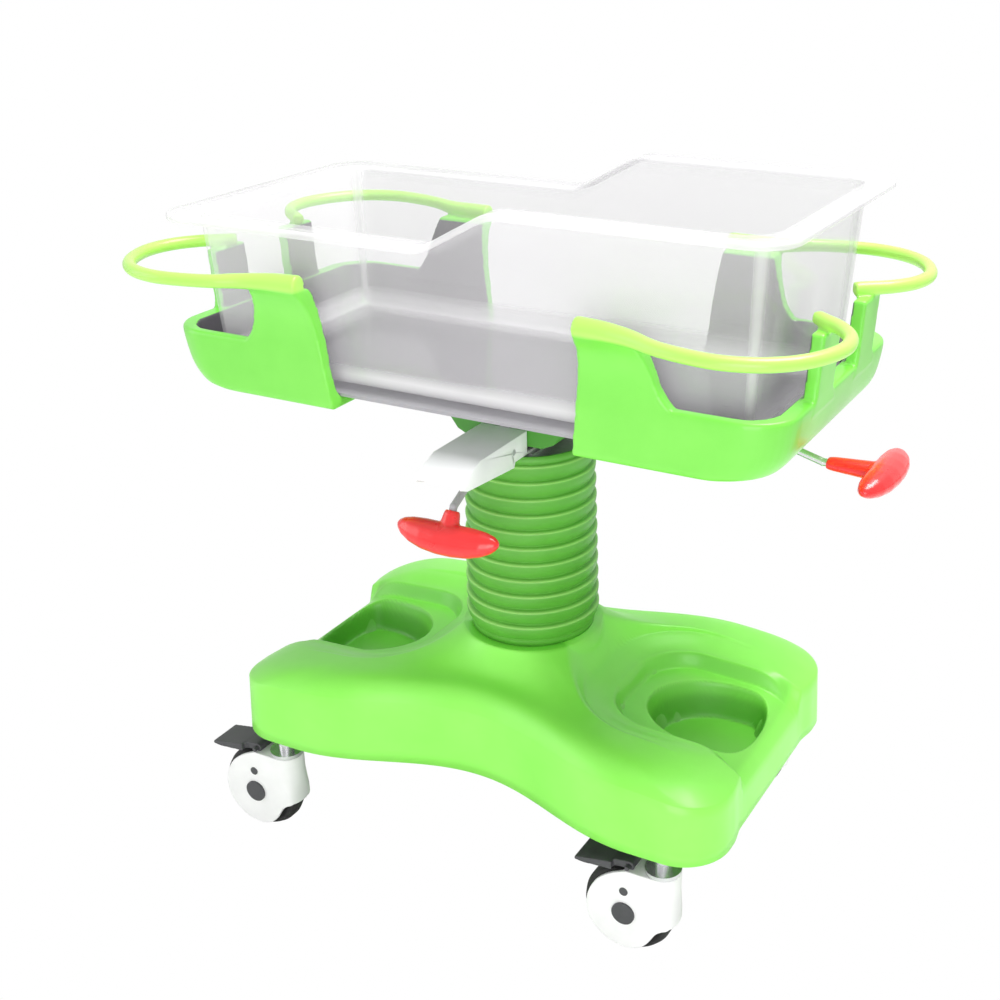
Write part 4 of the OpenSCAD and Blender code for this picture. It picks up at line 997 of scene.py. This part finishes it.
def flange_ring(t, z):
    """Ring in the flange, at a share t of the way from the tub out to the rim."""
    return np.column_stack([TUB * (1 - t) + RIM * t, z])


def tub_skin(inset, floor, lid, foot_r, turn_r):
    """Rings of one skin, from the middle of its floor, round its foot and up to its turn outwards."""
    edge = wall_ring(floor * FULL, (inset + foot_r) * FULL)
    skin = [edge * [s, s, 1] for s in (0.02, 0.5, 0.9)]
    for b in np.radians(np.linspace(0, 90, 9)):
        skin.append(wall_ring((floor + foot_r - foot_r * np.cos(b)) * FULL,
                              (inset + foot_r - foot_r * np.sin(b)) * FULL))
    for s in np.linspace(0, 1, 14)[1:]:
        skin.append(wall_ring(floor + foot_r + (lid - turn_r - floor - foot_r) * s, inset * FULL))
    for b in np.radians(np.linspace(0, 90, 7))[1:]:
        skin.append(wall_ring(lid - turn_r + turn_r * np.sin(b), inset - turn_r * (1 - np.cos(b)) * FULL))
    return skin


def rim_lip(top):
    """Rings over the flange, round its edge, down its lip and back under it to the tub."""
    thick, edge = BASIN_WALL / RIM_FLANGE, RIM_EDGE_SHARE
    rings = [flange_ring(t, top) for t in (0.15, 0.5, 0.86)]
    for b in np.radians((0, 30, 60, 90)):
        rings.append(flange_ring(1 - edge + edge * np.sin(b), top - RIM_EDGE_R + RIM_EDGE_R * np.cos(b)))
    foot, under = top - RIM_LIP, top - BASIN_WALL
    return rings + [flange_ring(1, foot + 1), flange_ring(1 - thick * 0.2, foot),
                    flange_ring(1 - thick * 0.8, foot), flange_ring(1 - thick, foot + 1),
                    flange_ring(1 - thick, under - 1), flange_ring(1 - thick * 1.3, under),
                    flange_ring(0.5, under)]


def edge_glow():
    """Share of painted highlight at each vertex, which whitens the edges, in runs of rings from the floor's
    inside to its outside.
    """
    corner = np.clip((np.abs(TUB_NORMAL).min(1) - 0.45) / 0.2, 0, 1) * 0.35
    inner = [(0, 3), (0.12, 3), (0.3, 6), (corner, 12), (0.15, 7)]
    lip = [(0.04, 3), (0.6, 4), (0.3, 4), (0.2, 2), (0.04, 1)]
    outer = [(0.12, 7), (corner, 12), (0.55, 6), (0.35, 3), (0, 3)]
    return np.concatenate([share * FULL for share, rings in inner + lip + outer for _ in range(rings)])


def make_basin():
    top = rim_z(TUB[:, 0])
    inner = tub_skin(BASIN_WALL, BASIN_Z + BASIN_WALL, top, TUB_FOOT_INNER_R, RIM_TURN_INNER_R)
    outer = tub_skin(0, BASIN_Z, top - BASIN_WALL, TUB_FOOT_R, RIM_TURN_R)
    rings = np.array(inner + rim_lip(top) + outer[::-1])
    obj = loft("clear_basin", rings)
    # Painted highlight: the edges painted whiter and less clear.
    glow = edge_glow()
    paint(obj, "edge", glow)
    # Painted shade: the floor painted greyer and less clear, less so where an edge is painted bright.
    low = np.array([ring[:, 2].max() < BASIN_Z + TUB_GREY_H for ring in rings], float)
    paint(obj, "floor", np.repeat(low, len(TUB)) * np.clip(1 - glow * 1.5, 0, 1))
    bm = bmesh.new()
    bm.from_mesh(obj.data)
    bmesh.ops.recalc_face_normals(bm, faces=bm.faces)
    bm.to_mesh(obj.data)
    bm.free()
    smooth_shade(obj, 50)
    dress(obj, "basin", CLEAR, ["basin"])


# Small mouldings, taken from their CAD shapes with softened edges

def softened(name, node, body, material, voxel, rounds):
    dress(moulded(cad_copy(name, node), voxel, rounds), body, material, [node])


def bevelled(name, node, body, material, width):
    obj = cad_copy(name, node)
    mod = obj.modifiers.new("edges", "BEVEL")
    mod.width = width * MM
    mod.segments = 3
    mod.limit_method = "ANGLE"
    mod.angle_limit = math.radians(28)
    applied(obj)
    smooth_shade(obj, 40)
    dress(obj, body, material, [node])


def make_mouldings():
    softened("height_handle_moulding", "height_handle", "height_lever", RED,
             voxel=1.3, rounds=14)
    softened("tilt_handle_moulding", "tilt_handle", "tilt_lever", RED, voxel=1.3, rounds=14)
    bevelled("lever_bracket_sheet", "lever_bracket", "carriage", PALE_COAT, width=0.8)
    bevelled("pivot_housing_moulding", "pivot_housing", "cradle", DARK_GREEN, width=2.0)
    place_caster_covers()
    for corner in CASTERS:
        body = "caster_" + corner
        softened(body + "_lever", body + "_pedal", body + "_brake", DARK, voxel=1.3, rounds=6)


# Caster covers, with the axle at X = 0 and Z = 0 until they are placed

CASTER_IN = 17.5
CASTER_OUT = 23.5
CASTER_TOP = 66.4
CASTER_BACK = 68.4
CASTER_TRAIL = 45
# Side view of a cover, clockwise from its upper trailing corner, in X and Z. The corners between the two
# straight stretches are rounded by a spline.
CASTER_PROFILE = [(CASTER_BACK, CASTER_TOP), (CASTER_BACK, 40), (CASTER_BACK, 10), (68, -3), (62, -9),
                  (52, -14), (44.5, -21), (39.5, -29.5), (32.5, -40), (23.5, -48.5), (12, -53.6), (0, -55),
                  (-19, -51.4), (-36, -41.2), (-47.5, -27.5), (-53, -12.5), (-54, 4), (-51, 18),
                  (-45.5, 30), (-38, 41), (-26, 51.5), (-12, 60), (3, CASTER_TOP), (24, CASTER_TOP),
                  (46, CASTER_TOP)]
SPLINE_FROM, SPLINE_TO = 3, 23
CROWN_FOOT = -8
CROWN_OVERLAP = 1
WHEEL_ROOM_R = 64.5
NECK_R = 23.5
# Plan of the neck by its height over the axle, as the power of its cosine: squarer low down, round above.
NECK_PLANS = ((-80, 0.4), (8, 0.4), (40, 1), (90, 1))


def y_block(profile, y0, y1):
    """Prism along Y from a closed profile of X and Z that runs clockwise seen from the front."""
    flat = np.asarray(profile, float)
    rings = [np.column_stack([flat[:, 0], np.full(len(flat), y), flat[:, 1]]) for y in (y0, y1)]
    return loft("block", rings)


def neck_cutter():
    """Everything behind the round neck that holds the stem, to be taken off the covers."""
    past_back, past_side = 50, 40
    a = np.radians(np.linspace(-90, 90, 40))
    back = CASTER_TRAIL + past_back
    corners = [[CASTER_TRAIL, past_side], [back, past_side], [back, -past_side], [CASTER_TRAIL, -past_side]]
    rings = []
    for z, power in NECK_PLANS:
        bow = np.stack([CASTER_TRAIL + NECK_R * np.cos(a) ** power, NECK_R * np.sin(a)], 1)
        plan = np.concatenate([bow, corners])[::-1]
        rings.append(np.column_stack([plan, np.full(len(plan), z)]))
    return loft("neck_cut", rings)


def caster_covers():
    """Both covers, the crown between them and the round neck, melted into one moulding."""
    profile = np.array(CASTER_PROFILE)
    profile = np.concatenate([profile[:SPLINE_FROM + 1], spline(profile[SPLINE_FROM:SPLINE_TO], 5)[1:],
                              profile[SPLINE_TO:]])
    pieces = [y_block(profile, -CASTER_OUT, -CASTER_IN), y_block(profile, CASTER_IN, CASTER_OUT)]
    crown = y_block([(-12, 60), (3, CASTER_TOP), (CASTER_BACK, CASTER_TOP), (CASTER_BACK, CROWN_FOOT),
                     (CASTER_TRAIL - 20, CROWN_FOOT), (CASTER_TRAIL - 20, 30)],
                    -CASTER_IN - CROWN_OVERLAP, CASTER_IN + CROWN_OVERLAP)
    a = np.linspace(0, -2 * np.pi, 72, endpoint=False)
    room = y_block(WHEEL_ROOM_R * np.stack([np.cos(a), np.sin(a)], 1), -CASTER_IN, CASTER_IN)
    pieces.append(cut_with(crown, room))
    for piece in pieces:
        cut_with(piece, neck_cutter())
    return moulded(joined("caster_covers", pieces), voxel=1.3, rounds=6)


def place_caster_covers():
    first = caster_covers()
    for corner in CASTERS:
        low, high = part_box("caster_" + corner + "_tyre")
        mesh = first.data.copy()
        mesh.transform(Matrix.Translation((np.array(low) + np.array(high)) / 2 - to_frame([0, 0, 0])))
        obj = new_object("caster_" + corner + "_covers", mesh)
        dress(obj, "caster_" + corner, WHITE, ["caster_" + corner + "_housing"])
    bpy.data.objects.remove(first)


# Screws and bolts of the cradle: one node tree makes the head and shank and repeats them at given places.
# Their inputs are in metres.

SCREW_SIZES = ("Head Radius", "Head Height", "Shank Radius", "Length", "Chamfer", "Recess Depth")
HEAD_UP = (math.pi, 0.0, 0.0)
HEAD_DOWN = (0.0, 0.0, 0.0)
TRAY_BOLT = {"Sides": 6, "Head Radius": 0.008, "Head Height": 0.006, "Shank Radius": 0.004,
             "Length": 0.0235, "Chamfer": 0.0008, "Recess Depth": 0.0015, "Turn": HEAD_DOWN}
DECK_SCREW = {"Sides": 28, "Head Radius": 0.00598, "Head Height": 0.0017, "Shank Radius": 0.004,
              "Length": 0.0182, "Chamfer": 0.0004, "Recess Depth": 0.0008, "Turn": HEAD_UP}
RAIL_SCREW = {"Sides": 28, "Head Radius": 0.00299, "Head Height": 0.002, "Shank Radius": 0.0026,
              "Length": 0.0079, "Chamfer": 0.0003, "Recess Depth": 0.0008, "Turn": HEAD_UP}
TRAY_BOLT_X = (205, 300)
TRAY_BOLT_Y = 90
DECK_SCREW_X = 283
DECK_SCREW_Z = 692.0
POST_SCREW_INSET = 3
POST_SCREW_Y = 79.25
FIN_SCREW = (224.93, 226.5)


def screw_tree():
    """Tree that makes one screw from its sizes and sets it at each point of a mesh."""
    tree = bpy.data.node_groups.new("screw_set", "GeometryNodeTree")
    tree.is_modifier = True
    face = tree.interface
    face.new_socket(name="Geometry", in_out="INPUT", socket_type="NodeSocketGeometry")
    face.new_socket(name="Sides", in_out="INPUT", socket_type="NodeSocketInt")
    for name in SCREW_SIZES:
        face.new_socket(name=name, in_out="INPUT", socket_type="NodeSocketFloat")
    face.new_socket(name="Turn", in_out="INPUT", socket_type="NodeSocketVector")
    face.new_socket(name="Geometry", in_out="OUTPUT", socket_type="NodeSocketGeometry")
    given = add(tree, "NodeGroupInput").outputs
    less = {"operation": "SUBTRACT"}

    def cylinder(sides, radius, depth, low):
        made = add(tree, "GeometryNodeMeshCylinder", {"Vertices": sides, "Radius": radius, "Depth": depth})
        half = add(tree, "ShaderNodeMath", {0: depth, 1: 0.5}, {"operation": "MULTIPLY"})
        middle = add(tree, "ShaderNodeMath", {0: low, 1: half.outputs[0]})
        place = add(tree, "ShaderNodeCombineXYZ", {"Z": middle.outputs[0]})
        moved = add(tree, "GeometryNodeTransform",
                    {"Geometry": made.outputs["Mesh"], "Translation": place.outputs[0]})
        return moved.outputs[0], made.outputs["Bottom"]

    def drawn(mesh, chosen, distance, scale):
        """The chosen faces, drawn out along their normals and scaled."""
        out = add(tree, "GeometryNodeExtrudeMesh",
                  {"Mesh": mesh, "Selection": chosen, "Offset Scale": distance})
        sized = add(tree, "GeometryNodeScaleElements",
                    {"Geometry": out.outputs["Mesh"], "Selection": out.outputs["Top"], "Scale": scale})
        return sized.outputs[0], out.outputs["Top"]

    # The head's face is drawn out by its chamfer, then drawn in and sunk for the key's recess.
    chamfer = given["Chamfer"]
    straight = add(tree, "ShaderNodeMath", {0: given["Head Height"], 1: chamfer}, less)
    head, end = cylinder(given["Sides"], given["Head Radius"], straight.outputs[0], chamfer)
    head, end = drawn(head, end, chamfer, 0.86)
    head, end = drawn(head, end, 0.0, 0.56)
    inwards = add(tree, "ShaderNodeMath", {0: 0.0, 1: given["Recess Depth"]}, less)
    head, end = drawn(head, end, inwards.outputs[0], 0.96)
    # The shank starts a little inside the head.
    start = add(tree, "ShaderNodeMath", {0: given["Head Height"], 1: 0.0004}, less).outputs[0]
    length = add(tree, "ShaderNodeMath", {0: given["Length"], 1: start}, less)
    shank, _ = cylinder(28, given["Shank Radius"], length.outputs[0], start)
    screw = add(tree, "GeometryNodeJoinGeometry", {0: head})
    tree.links.new(shank, screw.inputs[0])
    spread = add(tree, "GeometryNodeInstanceOnPoints",
                 {"Points": given["Geometry"], "Instance": screw.outputs[0], "Rotation": given["Turn"]})
    real = add(tree, "GeometryNodeRealizeInstances", {"Geometry": spread.outputs[0]})
    last = add(tree, "GeometryNodeSetMaterial", {"Geometry": real.outputs[0], "Material": ZINC})
    add(tree, "NodeGroupOutput", {0: last.outputs[0]})
    return tree


def screw_set(tree, name, places, values):
    """Screws with their heads' faces at the given places."""
    obj = new_mesh(name, places, [])
    mod = obj.modifiers.new("screws", "NODES")
    mod.node_group = tree
    for item in tree.interface.items_tree:
        if item.name in values:
            mod[item.identifier] = values[item.name]
    obj.update_tag()
    return applied(obj)


def make_cradle_screws():
    tree = screw_tree()
    corners = [(sx, sy) for sx in (-1, 1) for sy in (-1, 1)]
    bolt_z = TRAY_Z - TRAY_BOLT["Head Height"] / MM
    bolts = [(sx * x, sy * TRAY_BOLT_Y, bolt_z) for sx, sy in corners for x in TRAY_BOLT_X]
    deck = [(sx * DECK_SCREW_X, 0, DECK_SCREW_Z) for sx in (-1, 1)]
    high = size_of("cradle_screws")[1]
    at_corner = ((high[0] - POST_SCREW_INSET, POST_SCREW_Y), FIN_SCREW)
    rails = [(sx * x, sy * y, high[2]) for sx, sy in corners for x, y in at_corner]
    screws = joined("cradle_screw_set", [screw_set(tree, "tray_bolts", bolts, TRAY_BOLT),
                                         screw_set(tree, "deck_screws", deck, DECK_SCREW),
                                         screw_set(tree, "rail_screws", rails, RAIL_SCREW)])
    dress(screws, "cradle", ZINC, ["cradle_screws"])


# Stage, in metres

WHITE_LIGHT = (1, 1, 1, 1)
WORLD_STRENGTH = 0.37
FLOOR_SIZE = 12
FLOOR_DROP = 0.0005
LAMP_TARGET = Vector((0, 0, 0.5))


def seen_by(tree, *rays):
    """1 for rays of the named kinds and 0 for all others."""
    path = add(tree, "ShaderNodeLightPath").outputs
    seen = path[rays[0]]
    for ray in rays[1:]:
        seen = add(tree, "ShaderNodeMath", {0: seen, 1: path[ray]}, {"operation": "MAXIMUM"}).outputs[0]
    return seen


def make_floor():
    """White floor, which shows as plain white to the camera and through the clear basin."""
    bpy.ops.mesh.primitive_plane_add(size=FLOOR_SIZE, location=(0, 0, -FLOOR_DROP))
    floor = bpy.context.object
    floor.name = "floor"
    mat, tree, main, _ = shader("floor_paint", Base_Color=WHITE_LIGHT, Roughness=0.9)
    glow = add(tree, "ShaderNodeEmission", Color=WHITE_LIGHT, Strength=1.0)
    seen = seen_by(tree, "Is Camera Ray", "Is Transmission Ray")
    blend = add(tree, "ShaderNodeMixShader", {0: seen, 1: main.outputs[0], 2: glow.outputs[0]})
    tree.links.new(blend.outputs[0], tree.nodes["Material Output"].inputs["Surface"])
    floor.data.materials.append(mat)


def make_world():
    """Soft even light, with plain white where the camera, a reflection or clear plastic shows it."""
    world = bpy.data.worlds.new("studio")
    bpy.context.scene.world = world
    world.use_nodes = True
    tree = world.node_tree
    back = tree.nodes["Background"]
    back.inputs["Color"].default_value = WHITE_LIGHT
    back.inputs["Strength"].default_value = WORLD_STRENGTH
    white = add(tree, "ShaderNodeBackground", Color=WHITE_LIGHT, Strength=1.0)
    seen = seen_by(tree, "Is Camera Ray", "Is Glossy Ray", "Is Transmission Ray")
    blend = add(tree, "ShaderNodeMixShader", {0: seen, 1: back.outputs[0], 2: white.outputs[0]})
    tree.links.new(blend.outputs[0], tree.nodes["World Output"].inputs["Surface"])


def lamp(name, place, power, size):
    data = bpy.data.lights.new(name, "AREA")
    data.energy = power
    data.size = size
    obj = new_object(name, data)
    obj.location = place
    obj.rotation_euler = (LAMP_TARGET - Vector(place)).to_track_quat("-Z", "Y").to_euler()


# The photograph's camera: its place in millimetres, its turns in degrees and its lens as a share of the
# sensor's width come from a fit to the object's corners.
CAMERA_PLACE = (901.4, -1568.1, 1295.9)
CAMERA_DOWN = 23.6
CAMERA_TURN = 26.9
CAMERA_SENSOR = 36.0
CAMERA_LENS = 1.4381
CAMERA_SHIFT = -0.1


def make_camera():
    data = bpy.data.cameras.new("camera")
    data.sensor_width = CAMERA_SENSOR
    data.lens = CAMERA_SENSOR * CAMERA_LENS
    data.shift_x = CAMERA_SHIFT
    cam = new_object("camera", data)
    cam.location = to_frame(CAMERA_PLACE)
    cam.rotation_euler = (math.radians(90 - CAMERA_DOWN), 0, math.radians(CAMERA_TURN))
    bpy.context.scene.camera = cam


bpy.context.scene.view_settings.view_transform = "Standard"
finish_cad_nodes()
make_base_cover()
make_bellows()
make_tray("tray_right_moulding", "tray_right", ["rail_fr", "rail_br"], mirrored=False)
make_tray("tray_left_moulding", "tray_left", ["rail_fl", "rail_bl"], mirrored=True)
make_basin()
make_mouldings()
make_cradle_screws()
make_floor()
make_world()
lamp("key", (1.2, -2.9, 0.8), power=48, size=2.0)
lamp("fill", (-2.6, -1.6, 1.2), power=20, size=2.0)
lamp("top", (0.8, 0.4, 3.1), power=98, size=1.5)
make_camera()
